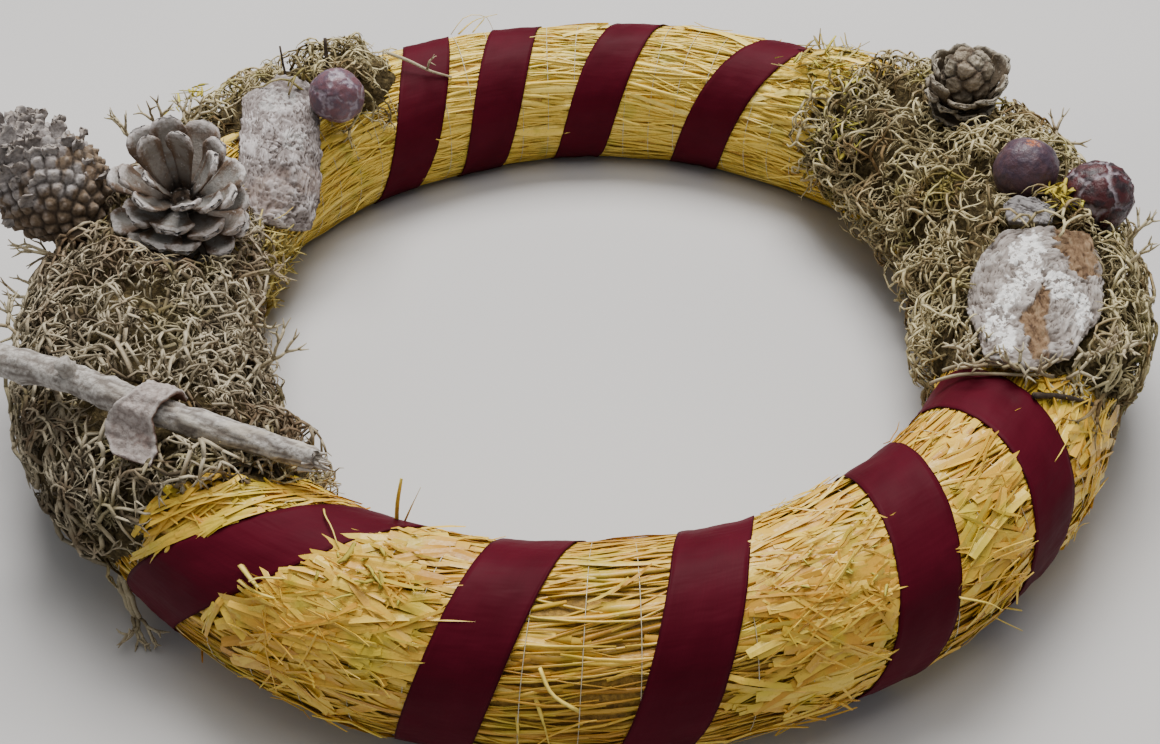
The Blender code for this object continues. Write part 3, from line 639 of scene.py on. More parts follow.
# Bound stalks: number, lengths, spread and swirl of their headings, lifts, half widths, shape
STALKS = (
    (560, (40, 110), 4, 0, (-0.2, 0.35), (1.2, 2.3), {"steps": 7, "flatness": 0.12, "roll": 0.08}),
    (1150, (45, 125), 5, 5, (-0.3, 0.8), (0.55, 1.25), {"steps": 8, "flatness": 0.3}),
    (2300, (30, 110), 8, 5, (0.0, 1.0), (0.28, 0.62), {"steps": 7, "sides": 3, "flatness": 0.6}),
)

# Torn bits: number, share in the messy arcs, range of phi, lengths, spread of their headings low
# on the outside and on top, lifts, half widths, shape
TORN_BITS = (
    (800, 0.74, (-48, 200), (18, 52), (21, 9), (0.6, 1.6), (0.7, 2.2),
     {"flatness": 0.12, "steps": 6, "rise": 0.7, "roll": 0.3, "taper": 0.3}),
    (640, 0.5, (-50, 215), (8, 32), (34, 16), (0.9, 2.2), (0.25, 0.7),
     {"flatness": 0.5, "steps": 5, "sides": 3, "rise": 1.2, "curl": 1.2}),
)


def thread_pinch(theta, phi):
    """1 where a binding thread crosses, falling to 0 a few mm beside it."""
    turns = (np.mod(theta, 360) / THREAD_PITCH) - np.asarray(phi) / 360
    beside = np.abs(turns - np.round(turns)) * THREAD_PITCH
    return np.exp(-((beside * MM_IN_DEGREE / PINCH_WIDTH) ** 2))


def straw_look(name, pale=0.0):
    """Dry straw: a colour of its own for each stalk, paler towards the back of the ring as painted light,
    fine streaks, painted shade on low-lying stalks, and a silky gloss.
    """
    look = Look(name, anisotropic=0.3)
    streaks = look.noise(1.1, 4)
    value = look.plus(look.times(look.field("tone"), 0.72), look.noise(28, 3), 0.42)
    look.paint(
        look.plus(value, pale - 0.07),
        (0.05, (146, 100, 28)), (0.22, (200, 145, 44)), (0.42, (222, 178, 64)),
        (0.64, (234, 198, 74)), (0.84, (241, 209, 88)), (1.0, (250, 227, 134)),
    )
    look.tint((152, 106, 34), streaks, 0.52, 0.75, 0.4)
    look.tint((184, 170, 40), look.noise(14, 2), 0.52, 0.68, 0.5)
    # Painted shade: low-lying stalks, most of all in front, are darkened where the stalks over them would
    # shade them.
    look.tint((112, 80, 22), look.field("deep"), 0.0, 1.0, 0.7)
    look.bump(streaks, 0.12, 0.6)
    return look.set(look.step(streaks, 0.3, 0.7, 0.3, 0.52))


def lay_straws(
    gather, rng, theta, phi, length, heading, lift, half_width,
    steps=9, sides=4, flatness=0.35, rise=0.0, curl=0.0, roll=0.25, taper=0.45,
):
    """Straws along the ring: centres, lengths, headings off the ring's run, lifts and widths."""
    share = np.linspace(-0.5, 0.5, steps)
    run = share * length[:, None]
    bend = rng.normal(0, 0.04, len(theta))[:, None] * length[:, None] * (4 * share**2 - 0.5)
    turn = np.radians(heading)[:, None]
    ring_way = run * np.cos(turn) - bend * np.sin(turn)
    tube_way = run * np.sin(turn) + bend * np.cos(turn)
    path_phi = round_tube(phi[:, None], tube_way)
    path_theta = along_ring(theta[:, None], path_phi, ring_way)
    free = 1 - PRESSED_BY_RIBBON * under_ribbon(path_theta, path_phi)
    height = lift[:, None] - PINCH_DEPTH * thread_pinch(path_theta, path_phi)
    height = height + rise * np.abs(share * 2) ** 2 + curl * (share + 0.5) ** 2
    wobble = STRAW_WOBBLE * np.sin(share * 9 + rng.uniform(0, 6, (len(theta), 1)))
    height = np.where(height > 0, height * free, height) + wobble * free
    height = height + straw_base(path_theta, path_phi)
    points = tube(path_theta, path_phi, height)
    ups = unit(tube(path_theta, path_phi, height + 5) - points)
    turned_over = rng.normal(0, roll, (len(theta), 1, 1))
    ups = unit(ups + turned_over * unit(np.cross(ups, np.gradient(points, axis=1))))
    radii = half_width[:, None] * (1 - taper * np.abs(2 * share) ** 4)
    found, faces = tubes(points, radii, sides, ups, flatness)
    # Painted light and shade: stalks towards the back of the ring turn paler, and low-lying stalks in front
    # turn darker.
    behind = np.clip(1.3 * np.sin(np.radians(theta)), 0, 1)
    tone = np.clip(STRAW_TONE * rng.beta(2.0, 2.4, len(theta)) + BACK_PAINTED_LIGHT * behind, 0, 1)
    deep = np.clip(0.55 - lift - behind, 0, 1)
    gather.add(found, faces, tone=np.repeat(tone, steps * sides), deep=np.repeat(deep, steps * sides))


def bare_straw(theta, phi, length):
    """Whether any of a straw shows beyond the moss mats."""
    reach = along_ring(theta, phi, length / 2) - theta
    over = [
        np.where(straw_zone(theta + side * reach, phi), 0, moss_over(theta + side * reach, phi))
        for side in (-1, 0, 1)
    ]
    return np.min(over, axis=0) < HIDDEN_BELOW_MOSS


def stalk_places(rng, count, shortest, longest):
    """Centres and lengths of bound stalks, all of which show somewhere."""
    theta, phi = rng.uniform(0, 360, 2 * count), rng.uniform(-72, 252, 2 * count)
    length = rng.uniform(shortest, longest, 2 * count)
    seen = np.flatnonzero(bare_straw(theta, phi, length))[:count]
    return theta[seen], phi[seen], length[seen]


def torn_places(rng, number, messy_share, phis):
    """Places for torn bits: most in three arcs in front, and fewer elsewhere, clear of ribbon
    and moss."""
    front = rng.random(number) < messy_share
    arcs = MESSY_ARCS[rng.integers(0, len(MESSY_ARCS), number)]
    place = np.where(front, rng.uniform(arcs[:, 0], arcs[:, 1]), rng.uniform(0, 360, number))
    around = rng.uniform(*phis, number)
    around = np.where(front, np.clip(rng.normal(TORN_MIDDLE, TORN_SPREAD, number), *phis), around)
    covered = (moss_over(place, around) >= 1) & ~straw_zone(place, around)
    free = ~covered & (under_ribbon(place, around) < 0.1)
    return place[free], around[free]


def make_straw():
    """The bound stalks, the torn leaf sheaths and short bits over them, and loose ends."""
    rng = np.random.default_rng(7)
    stalks, bits = Gather(), Gather()
    for number, lengths, spread, swirl, lifts, half_widths, shape in STALKS:
        theta, phi, length = stalk_places(rng, number, *lengths)
        count = len(theta)
        heading = rng.normal(0, spread, count) + swirl * np.sin(np.radians(theta * 3))
        lift, half_width = rng.uniform(*lifts, count), rng.uniform(*half_widths, count)
        lay_straws(stalks, rng, theta, phi, length, heading, lift, half_width, **shape)
    count = UNDERSIDE_STRAWS
    theta, phi = rng.uniform(0, 360, count), rng.uniform(*UNDERSIDE, count)
    lay_straws(
        stalks, rng, theta, phi, rng.uniform(60, 120, count), rng.normal(0, 5, count),
        np.zeros(count), rng.uniform(0.8, 1.6, count), flatness=0.2,
    )
    for number, messy_share, phis, lengths, spreads, lifts, half_widths, shape in TORN_BITS:
        theta, phi = torn_places(rng, number, messy_share, phis)
        count = len(theta)
        length = rng.uniform(*lengths, count)
        heading = rng.normal(0, 1, count) * np.interp(phi, OUTSIDE_TO_TOP, spreads)
        lift, half_width = rng.uniform(*lifts, count), rng.uniform(*half_widths, count)
        lay_straws(bits, rng, theta, phi, length, heading, lift, half_width, **shape)
    count = LEFT_END_STRAWS
    theta, phi = rng.uniform(*LEFT_END, count), rng.uniform(*LEFT_END_PHI, count)
    lay_straws(
        bits, rng, theta, phi, rng.uniform(20, 52, count), rng.normal(60, 10, count),
        rng.uniform(0.8, 2.0, count), rng.uniform(0.4, 1.5, count), flatness=0.2, steps=7, rise=0.6,
    )
    stalk_piece = stalks.make("straw_stalks", straw_look("straw_stalk"))
    bit_piece = bits.make("straw_bits", straw_look("straw_bit", pale=0.05), smooth=False)


def make_thread():
    """The clear binding thread, one turn after another right round the ring, painted pale as its highlights.
    """
    phi = np.arange(0, 360 / THREAD_PITCH * 360, THREAD_STEP)
    theta = phi / 360 * THREAD_PITCH
    lift = 0.85 - 0.5 * under_ribbon(theta, phi) - 0.5 * (moss_over(theta, phi) > 0)
    path = tube(theta, phi, lift)[None]
    points, faces = tubes(path, np.full(path.shape[:2], THREAD_RADIUS), 3)
    look = Look("clear_thread_painted_highlight", roughness=0.12, specular=0.6)
    # Painted highlight: the clear thread is given an opaque pale colour for the light it catches.
    look.paint(look.noise(20, 2), (0.3, (206, 196, 158)), (0.7, (228, 222, 200)))
    thread = make_piece("binding_thread", points, faces, look.set())


def dress_straw_ring():
    """The bundle below the stalks: painted shade between the loose straws in front, and paler gold behind as
    painted light.
    """
    look = Look("straw_bed_painted_shade_and_light")
    streaks = look.noise(1.6, 5)
    place = look.nodes.new("ShaderNodeSeparateXYZ")
    look.put(place, "Vector", look.place)
    look.paint(streaks, (0.3, (106, 80, 32)), (0.6, (158, 121, 48)), (0.8, (190, 152, 66)))
    back = look.colours(streaks, (0.3, (150, 112, 40)), (0.6, (204, 162, 68)), (0.8, (226, 190, 96)))
    # Painted light towards the back of the ring; the darker colours in front are painted shade.
    look.tint(back, place.outputs["Y"], -0.04, 0.08)
    look.bump(streaks, 0.8)
    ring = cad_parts["straw_ring"]
    ring.data.materials.clear()
    ring.data.materials.append(look.set())


# Lichen moss

# How strands keep to their mat: how soon and how hard they are steered to its top, how much of
# a rise over their ceiling is taken back, and how much higher larger tufts may reach
STEER_DEPTH = 7
STEER_MOST = 0.7
HELD_BACK = 0.7
SIZE_RISE = 5
DEEPEST_STRAND = -1.0
LENGTH_SPREAD = (0.65, 1.35)
FORK_ANGLES = (18, 46)
FORK_SHARES = (0.5, 1.3)
STRAND_SIDES = 3
STRAND_FLATNESS = 0.7
TIP_TAPER = 0.3
# Step of the even, patternless spread of strands over their mat
PLASTIC = 1.324717957
OUTER_TO_TOP = (20, 110)
# The bed under the strands, the low rim where wisps start, and how near collars stand to a piece
BED_SHARE = 0.68
BED_CLEARANCE = 0.8
BED_SINK = 1.8
RIM_HEIGHT = 3.5
COLLAR_REACH = 7


def rotate(vectors, axes, angles):
    """Vectors turned about unit axes by angles in radians."""
    cos, sin = np.cos(angles)[:, None], np.sin(angles)[:, None]
    level = (axes * vectors).sum(1, keepdims=True)
    return vectors * cos + np.cross(axes, vectors) * sin + axes * level * (1 - cos)


def fork(way, lean, angle, other):
    """Directions of the two branches of each strand, turned by two angles towards a lean."""
    axis = unit(lean - way * (lean * way).sum(1, keepdims=True))
    return np.vstack([rotate(way, axis, angle), rotate(way, axis, -other)])


def lichen_look(name, dark, mid, pale, brown, green):
    """Dry lichen: dark at the root, pale at the tips, browner and greener in patches."""
    look = Look(name, roughness=0.92, specular=0.2)
    grain, tone = look.noise(0.9, 3), look.field("tone")
    reach = look.plus(look.plus(look.field("tip"), tone, 0.6), grain, 0.4)
    look.paint(reach, (0.22, dark), (0.68, mid), (0.98, pale))
    look.tint(dark, tone, 0.0, 0.45, most=0.0, least=0.6)
    look.tint(brown, look.noise(22, 3), 0.48, 0.64, 0.62)
    look.tint(green, look.noise(31, 3), 0.56, 0.68, 0.55)
    look.bump(grain, 0.2)
    return look.set()


def next_places(rows, places, way, each, size, shape):
    """The next (theta, phi, lift) along strands, held down where they rise above their ceiling."""
    t, p, h = places
    t, p = along_ring(t, p, way[:, 0] * each, h), round_tube(p, way[:, 1] * each, h)
    highest = np.maximum(mat_height(rows, t, p), 0) + np.interp(p, OUTER_TO_TOP, shape["above"])
    h = np.maximum(h + way[:, 2] * each, DEEPEST_STRAND)
    return t, p, h - HELD_BACK * np.maximum(h - highest - SIZE_RISE * (size - 1), 0)


def steered(rows, places, way, shape):
    """Directions turned towards a height a little above the mat."""
    t, p, h = places
    target = np.maximum(mat_height(rows, t, p), 0) + shape["nap"]
    push = np.clip((target - h) / STEER_DEPTH, -STEER_MOST, STEER_MOST) * shape["steer"]
    return unit(way + np.stack([0 * push, 0 * push, push], -1))


def grow_lichen(gather, rng, rows, theta, phi, lift, way, shape):
    """Forking strands from places on a mat, each level thinner and shorter than the last.
    A way is a direction as (along the ring, round the tube, outwards)."""
    clumps = noise(tube(theta, phi, lift), 13, seed=33, octaves=2)
    tone = np.clip(0.2 + rng.uniform(0, 0.6, len(theta)) + 0.9 * clumps, 0, 1)
    size = rng.uniform(*shape["sizes"], len(theta))
    places = (theta, phi, lift)
    levels = len(shape["lengths"])
    for level, (length, radius) in enumerate(zip(shape["lengths"], shape["radii"])):
        last = level == levels - 1
        steps = shape.get("steps", 2 if last else 3)
        tract = [places]
        each = length * size * rng.uniform(*LENGTH_SPREAD, len(size)) / (steps - 1)
        axis, rate = unit(rng.normal(size=way.shape)), rng.normal(0, shape["curl"], len(way))
        for _ in range(steps - 1):
            way = unit(rotate(way, axis, rate) + rng.normal(0, shape["crook"], way.shape))
            way = steered(rows, tract[-1], way, shape)
            tract.append(next_places(rows, tract[-1], way, each, size, shape))
        path = tube(*[np.stack(values, 1) for values in zip(*tract)])
        clear = hull_distance(path[:, -1]) > shape["clear"]
        clear &= ~straw_zone(*tract[-1][:2], margin=1.2)
        clear &= under_ribbon(*tract[-1][:2]) < 0.3
        path, way, tone, size = path[clear], way[clear], tone[clear], size[clear]
        thin = np.linspace(1, TIP_TAPER if last else shape["taper"], steps)
        radii = radius * thin * np.sqrt(size)[:, None]
        found, faces = tubes(path, radii, STRAND_SIDES, flatness=STRAND_FLATNESS)
        share = (level + np.linspace(0, 1, steps)) / levels
        tip = np.tile(np.repeat(share, STRAND_SIDES), len(path))
        gather.add(found, faces, tip=tip, tone=np.repeat(tone, steps * STRAND_SIDES))
        if last:
            break
        lean = unit(rng.normal(0, shape["tumble"], way.shape) + (0, 0, 1))
        angle = np.radians(rng.uniform(*FORK_ANGLES, len(way)))
        way = fork(way, lean, angle, angle * rng.uniform(*FORK_SHARES, len(way)))
        places = [np.tile(values[clear], 2) for values in tract[-1]]
        tone, size = np.tile(tone, 2), np.tile(size, 2)


def tuft_places(rng, rows, count, low=0.5):
    """Evenly strewn places on a mat where it is at least a low height."""
    at = np.array(rows, float)
    number = np.arange(9 * count)
    theta = at[0, 0] + (at[-1, 0] - at[0, 0]) * np.mod(rng.uniform() + number / PLASTIC, 1)
    lowest, highest = at[:, 1].min(), at[:, 2].max()
    phi = lowest + (highest - lowest) * np.mod(rng.uniform() + number / PLASTIC**2, 1)
    height = mat_height(rows, theta, phi)
    round_share = ring_distance(phi) / ring_distance(0)
    good = (height > low) & (rng.uniform(0, 1, len(number)) < round_share)
    theta, phi, height = theta[good], phi[good], height[good]
    base = tube(theta, phi, height)
    keep = np.flatnonzero(hull_distance(base) > 0.5)[:count]
    return theta[keep], phi[keep], height[keep]


def first_ways(rng, count, outward=0.5, spread=0.3):
    """Random starting directions, mostly along the mat."""
    turn = rng.uniform(0, 2 * math.pi, count)
    return unit(np.stack([np.cos(turn), np.sin(turn), rng.normal(outward, spread, count)], -1))


LEFT_STRANDS = {
    "lengths": (7.6, 6.4, 5.4, 4.4, 3.4), "radii": (1.05, 0.86, 0.7, 0.54, 0.4), "taper": 0.84, "steps": 3,
    "crook": 0.11, "nap": 2.0, "steer": 0.8, "clear": 0.6, "tumble": 0.5, "curl": 0.5, "sizes": (0.6, 1.35),
    "above": (-1.5, 9.0),
}
FINE_STRANDS = {
    "lengths": (8.6, 7.2, 5.8, 4.6), "radii": (0.9, 0.75, 0.6, 0.45), "taper": 0.86, "steps": 4,
    "crook": 0.13, "nap": 2.0, "steer": 0.6, "clear": 1.2, "tumble": 0.6, "curl": 0.36, "sizes": (0.55, 1.35),
    "above": (0.0, 9.0),
}
COLLAR_STRANDS = {
    "lengths": (4.6, 3.8, 3.2, 2.6), "radii": (0.8, 0.67, 0.54, 0.4), "taper": 0.86,
    "crook": 0.2, "nap": 1.0, "steer": 0.6, "clear": 1.6, "tumble": 0.6, "curl": 0.3, "sizes": (0.6, 1.3),
    "above": (0.5, 1.0),
}
BROAD_STRANDS = {
    "lengths": (12.0, 10.0, 8.0, 6.0), "radii": (1.3, 1.1, 0.85, 0.6), "taper": 0.86, "steps": 4,
    "crook": 0.08, "nap": 3.0, "steer": 1.0, "clear": 1.0, "tumble": 0.3, "curl": 0.22, "sizes": (0.6, 1.1),
    "above": (-1.0, 6.0),
}
EDGE_STRANDS = {
    "lengths": (6.0, 5.0, 4.2, 3.2), "radii": (0.62, 0.52, 0.42, 0.32), "taper": 0.88,
    "crook": 0.22, "nap": 3.0, "steer": 0.25, "clear": 0.4, "tumble": 0.6, "curl": 0.35, "sizes": (0.6, 1.4),
    "above": (1.0, 6.0),
}


def make_moss_bed(name, rows, material, steps_theta, steps_phi):
    """The inside of a mat, dark as painted shade, lumpy, sunk into the straw at its edge."""
    at = np.array(rows, float)
    theta = np.linspace(at[0, 0], at[-1, 0], steps_theta)[:, None]
    phi = np.linspace(at[:, 1].min() - 6, at[:, 2].max() + 6, steps_phi)[None]
    theta, phi = np.broadcast_arrays(theta, phi)
    height = mat_height(rows, theta, phi)
    smooth = tube(theta, phi, height)
    lumps = 1.6 * noise(smooth, 9, seed=31) + 0.9 * noise(smooth, 3.5, seed=32, octaves=2)
    height = np.where(height > 0, height * BED_SHARE + lumps, height).ravel()
    for _ in range(7):
        points = tube(theta.ravel(), phi.ravel(), height)
        height = np.where(hull_distance(points) < BED_CLEARANCE, height - BED_SINK, height)
    points = tube(theta.ravel(), phi.ravel(), np.maximum(height, -MOSS_ROOT))
    fields = {"strawy": straw_zone(theta, phi)}
    bed = make_piece(name + "_bed", points, [grid_faces(steps_theta, steps_phi)[:, ::-1]], material, fields)
    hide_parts(name)


def depth_look():
    """The inside of a mat, dark as painted shade among the strands, and chaff where straw lies over its end.
    """
    look = Look("moss_bed_painted_shade", roughness=1.0, specular=0.1)
    crumbs = look.noise(2.2, 5)
    # The near-black crumbs are painted shade deep among the strands.
    look.paint(crumbs, (0.3, (40, 33, 21)), (0.55, (84, 72, 48)), (0.75, (136, 120, 82)))
    chaff = look.colours(crumbs, (0.3, (128, 98, 34)), (0.7, (206, 170, 78)))
    look.tint(chaff, look.field("strawy"))
    look.bump(crumbs, 1.6)
    return look.set()


def make_mats(coarse, fine):
    """A bed in painted shade and a tangle of forking strands for each mat."""
    depth = depth_look()
    for name, steps_theta, steps_phi, tufts, shape, material, seed in (
        ("moss_left", 84, 66, 440, LEFT_STRANDS, coarse, 21),
        ("moss_back_left", 50, 40, 175, FINE_STRANDS, fine, 22),
        ("moss_right", 104, 62, 670, FINE_STRANDS, fine, 23),
    ):
        rows = MATS[name]
        rng = np.random.default_rng(seed)
        make_moss_bed(name, rows, depth, steps_theta, steps_phi)
        tangle = Gather()
        theta, phi, height = tuft_places(rng, rows, tufts)
        lift = height * rng.uniform(0.45, 0.95, len(theta))
        grow_lichen(tangle, rng, rows, theta, phi, lift, first_ways(rng, len(theta), 0.35), shape)
        strands = tangle.make(name + "_strands", material)


def make_wisps(material):
    """Wisps that stand out past the edges and the ends of the mats."""
    wisps = Gather()
    rng = np.random.default_rng(24)
    for rows, tufts in zip(MATS.values(), (75, 25, 85)):
        theta, phi, height = tuft_places(rng, rows, 40 * tufts, low=-1.0)
        rim = np.flatnonzero(height < RIM_HEIGHT)[:tufts]
        theta, phi, lift = theta[rim], phi[rim], height[rim] + 1
        at, low, high, _ = np.array(rows, float).T
        middle = (np.interp(theta, at, low) + np.interp(theta, at, high)) / 2
        ends = rng.uniform(0, 1, len(theta)) < 0.3
        lengthways = np.sign(theta - at.mean()) * np.where(ends, 1, 0.2)
        sideways = np.sign(phi - middle) * np.where(ends, 0.2, 1)
        way = np.stack([lengthways, sideways, np.full(len(theta), 0.5)], -1)
        way = unit(way + rng.normal(0, 0.4, way.shape))
        grow_lichen(wisps, rng, rows, theta, phi, lift, way, EDGE_STRANDS)
    wisps.make("moss_wisps", material)


def make_moss():
    """Three mats of lichen, wisps past their edges, collars of fine strands round what lies on
    them, and a few broad strands over the left one."""
    coarse = lichen_look(
        "lichen_coarse", (66, 55, 41), (136, 122, 99), (184, 172, 146), (116, 92, 68), (128, 118, 76),
    )
    fine = lichen_look(
        "lichen_fine", (74, 61, 38), (162, 147, 107), (204, 191, 149), (134, 105, 67), (154, 146, 70),
    )
    make_mats(coarse, fine)
    make_wisps(fine)
    collars, broad = Gather(), Gather()
    rng = np.random.default_rng(25)
    for rows, tufts in zip(MATS.values(), (70, 20, 110)):
        theta, phi, height = tuft_places(rng, rows, 14 * tufts, low=1.0)
        near = np.flatnonzero(hull_distance(tube(theta, phi, height)) < COLLAR_REACH)[:tufts]
        theta, phi, lift = theta[near], phi[near], 0.7 * height[near]
        ways = first_ways(rng, len(near), 0.6)
        grow_lichen(collars, rng, rows, theta, phi, lift, ways, COLLAR_STRANDS)
    collars.make("moss_collars", fine)
    theta, phi, height = tuft_places(rng, MATS["moss_left"], 34, low=6.0)
    ways = first_ways(rng, len(theta), 0.15, 0.1)
    grow_lichen(broad, rng, MATS["moss_left"], theta, phi, height + 1.0, ways, BROAD_STRANDS)
    broad.make("moss_broad", coarse)


# Open cones: separate scales round a core

GOLDEN_ANGLE = 137.508
SCALE_REACH = np.array([0.0, 0.16, 0.36, 0.56, 0.72, 0.84, 0.93, 0.98, 1.0])
SCALE_WIDE = np.array([0.40, 0.46, 0.60, 0.78, 0.93, 1.0, 0.93, 0.74, 0.44])
SCALE_DEEP = np.array([0.42, 0.36, 0.32, 0.36, 0.52, 0.80, 1.0, 0.90, 0.5])
SCALE_ROUND = 16
SCALE_WEAR = 0.6
OPEN_BASE, OPEN_AXIS = np.array((-150.5, 13.0, 64.5)), unit((0.11, -0.30, 0.945))
OPEN_SCALES = 44
OPEN_TOP_LEFT_OUT = 5
# The open cone's scales from the lowest to the highest, each as (shares of the way up, values)
OPEN_HEIGHT = ((0, 0.5, 1), (1.0, 12.0, 21.0))
OPEN_RADIUS = ((0, 0.4, 1), (6.0, 7.6, 2.6))
OPEN_TILT = ((0, 0.25, 0.5, 0.75, 1), (-20, -2, 20, 52, 80))
OPEN_LENGTH = ((0, 0.3, 0.7, 1), (15.0, 19.0, 21.5, 19.0))
OPEN_WIDTH = ((0, 0.4, 1), (12.0, 14.0, 7.5))
OPEN_THICKNESS = ((0, 0.6, 1), (4.0, 3.8, 2.2))
# What the inner scales gain in (tilt, share of length, share of width) at the back and in front
INNER_AT_BACK = (12, 0.3, 0.4)
INNER_IN_FRONT = (-26, -0.3, 0.35)
CORE_ROUND = 24


def blunt(values, power):
    """Values of -1 to 1 pushed outwards, so that a round section turns squarer."""
    return np.sign(values) * np.abs(values) ** power


def scale_shape(rng, length, width, thickness, curl, cup):
    """One woody scale along +X, hollow above, thick at its tip with a blunt knob. Returns its
    points, its faces, and for each point the share of its length, the share of its width and 1
    where it is on the upper side."""
    turn = 2 * math.pi * (np.arange(SCALE_ROUND) + 0.5) / SCALE_ROUND
    x = SCALE_REACH[:, None] * length
    y = SCALE_WIDE[:, None] * width / 2 * (1 + rng.normal(0, 0.03)) * blunt(np.cos(turn), 0.75)
    z = SCALE_DEEP[:, None] * thickness / 2 * blunt(np.sin(turn), 0.8)
    lean = curl * length * (x / length) ** 2
    hollow = cup * width * (2 * y / width) ** 2 * (0.3 + 0.7 * x / length)
    ridge = -0.10 * thickness * np.exp(-((y / (0.22 * width)) ** 2)) * (z > 0)
    ridge = ridge * ramp(x / length, 0.2, 0.7)
    x = x - 0.10 * length * (2 * np.abs(y) / width) ** 2 * ramp(x / length, 0.5, 1.0)
    points = np.stack([x + 0 * y, y, z + lean + hollow + ridge], -1)
    rows, columns = points.shape[:2]
    tip = np.array([[length * 1.005, 0, curl * length]])
    side = np.abs(y) / (width / 2)
    above = np.broadcast_to(np.sin(turn) > 0, y.shape).astype(float)
    last = (rows - 1) * columns + np.arange(columns)
    faces = [
        grid_faces(rows, columns, wrap=True)[:, ::-1],
        np.arange(columns)[None],
        np.stack([last, np.roll(last, -1), np.full(columns, rows * columns)], -1),
    ]
    points = np.vstack([points.reshape(-1, 3), tip])
    reach = np.append(np.repeat(SCALE_REACH, columns), 1.0)
    return points, faces, reach, np.append(side.ravel(), 0), np.append(above.ravel(), 0)


def in_frame(points, root, out, level, over):
    """Points of a scale put at a root along three directions."""
    return root + points[:, :1] * out + points[:, 1:2] * level + points[:, 2:] * over


def place_scales(gather, rng, base, axis, scales, roughness_mm):
    """Puts scales round an axis: each is (height, radius, turn, tilt, length, width, thickness,
    curl, cup), with the turn and tilt in degrees."""
    axis = unit(axis)
    for number, (height, radius, turn, tilt, *shape) in enumerate(scales):
        points, faces, reach, side, above = scale_shape(rng, *shape)
        radial, tilt = round_axis(axis, math.radians(turn)), math.radians(tilt)
        out = radial * math.cos(tilt) + axis * math.sin(tilt)
        over = axis * math.cos(tilt) - radial * math.sin(tilt)
        root = base + axis * height + radial * radius
        points = in_frame(points, root, out, np.cross(axis, radial), over)
        points = points + roughness_mm * noise(points, 5, seed=number)[:, None] * over
        worn = SCALE_WEAR * noise(points, 3, seed=number + 500, octaves=2) * ramp(reach, 0.7, 1.0)
        points = points + worn[:, None] * out
        gather.add(points, faces, reach=reach, side=side, above=above, tone=rng.uniform(0, 1))


def add_core(gather, base, axis, heights, radii):
    """The cone's core as a turned shape."""
    axis = unit(axis)
    ring = round_axis(axis, 2 * math.pi * np.arange(CORE_ROUND) / CORE_ROUND)
    loops = base + np.array(heights)[:, None, None] * axis + np.array(radii)[:, None, None] * ring
    points = loops.reshape(-1, 3)
    points = points + 0.3 * noise(points, 3, seed=3)[:, None] * unit(points - base)
    faces = closed_faces(len(heights), CORE_ROUND)
    # At a reach of 0.1 the core takes the painted shade of the scales' roots.
    gather.add(points, faces, reach=0.1, side=0.5, above=0.0, tone=0.2)


def scale_look(name, inner, rim, brown, dark):
    """Weathered cone scales: grey inside with brown sides, pale bloom on the tips, and dark roots as painted
    shade where the scales crowd together.
    """
    look = Look(name, roughness=0.82, specular=0.3)
    grain, fleck, reach = look.noise(1.4, 5), look.noise(1.6, 3), look.field("reach")
    streaked = look.plus(look.field("side"), grain, 0.5)
    face = look.colours(streaked, (0.62, inner), (0.875, brown))
    under = look.colours(grain, (0.3, dark), (0.75, brown))
    look.colour = look.mix(look.step(look.field("above"), 0.3, 0.7), under, face)
    # Painted shade: each scale darkens towards its root, deep among the other scales.
    look.tint(dark, reach, 0.0, 0.5, most=0.0, least=0.85)
    look.tint(brown, look.noise(5, 4), 0.46, 0.62, 0.6)
    look.tint(rim, look.plus(reach, fleck, 0.5), 1.06, 1.3, 0.85)
    look.tint(brown, look.field("tone"), 0.4, 1, 0.35)
    look.tint(rim, look.noise(2.2, 4), 0.6, 0.7, 0.5)
    look.bump(look.plus(grain, fleck, 0.5), 0.5, 0.8)
    return look.set()


def make_open_cone():
    """The open pine cone, its scales set on the spiral that cones grow on."""
    rng = np.random.default_rng(41)
    gather = Gather()
    scales = []
    for n in range(OPEN_SCALES - OPEN_TOP_LEFT_OUT):
        share = n / (OPEN_SCALES - 1)
        tilt = np.interp(share, *OPEN_TILT) + rng.normal(0, 5)
        length = np.interp(share, *OPEN_LENGTH) * rng.uniform(0.9, 1.06)
        width = np.interp(share, *OPEN_WIDTH) * rng.uniform(0.88, 1.1)
        turn = GOLDEN_ANGLE * n + rng.normal(0, 4)
        towards_back = round_axis(OPEN_AXIS, math.radians(turn))[1]
        back, front = max(towards_back, 0), max(-towards_back, 0)
        inner = float(ramp(share, 0.3, 0.65))
        more_tilt, longer, wider = (
            inner * (b * back + f * front) for b, f in zip(INNER_AT_BACK, INNER_IN_FRONT)
        )
        scales.append((
            np.interp(share, *OPEN_HEIGHT), np.interp(share, *OPEN_RADIUS), turn, tilt + more_tilt,
            length * (1 + longer), width * (1 + wider), np.interp(share, *OPEN_THICKNESS),
            rng.uniform(0.04, 0.14), 0.10,
        ))
    place_scales(gather, rng, OPEN_BASE, OPEN_AXIS, scales, 0.45)
    add_core(gather, OPEN_BASE, OPEN_AXIS, (-1, 0, 6, 11, 15, 17.5, 18.5), (3, 6, 8.2, 7.6, 4.6, 2.4, 0.8))
    # The last colour is the painted shade at the scales' roots.
    look = scale_look("pine_scale", (150, 146, 140), (206, 200, 198), (110, 91, 76), (44, 36, 30))
    cone = gather.make("cone_scales_open", look)
    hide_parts("pine_cone_open")


# Closed cones and cypress cones: a ball or an egg with its surface raised in cells

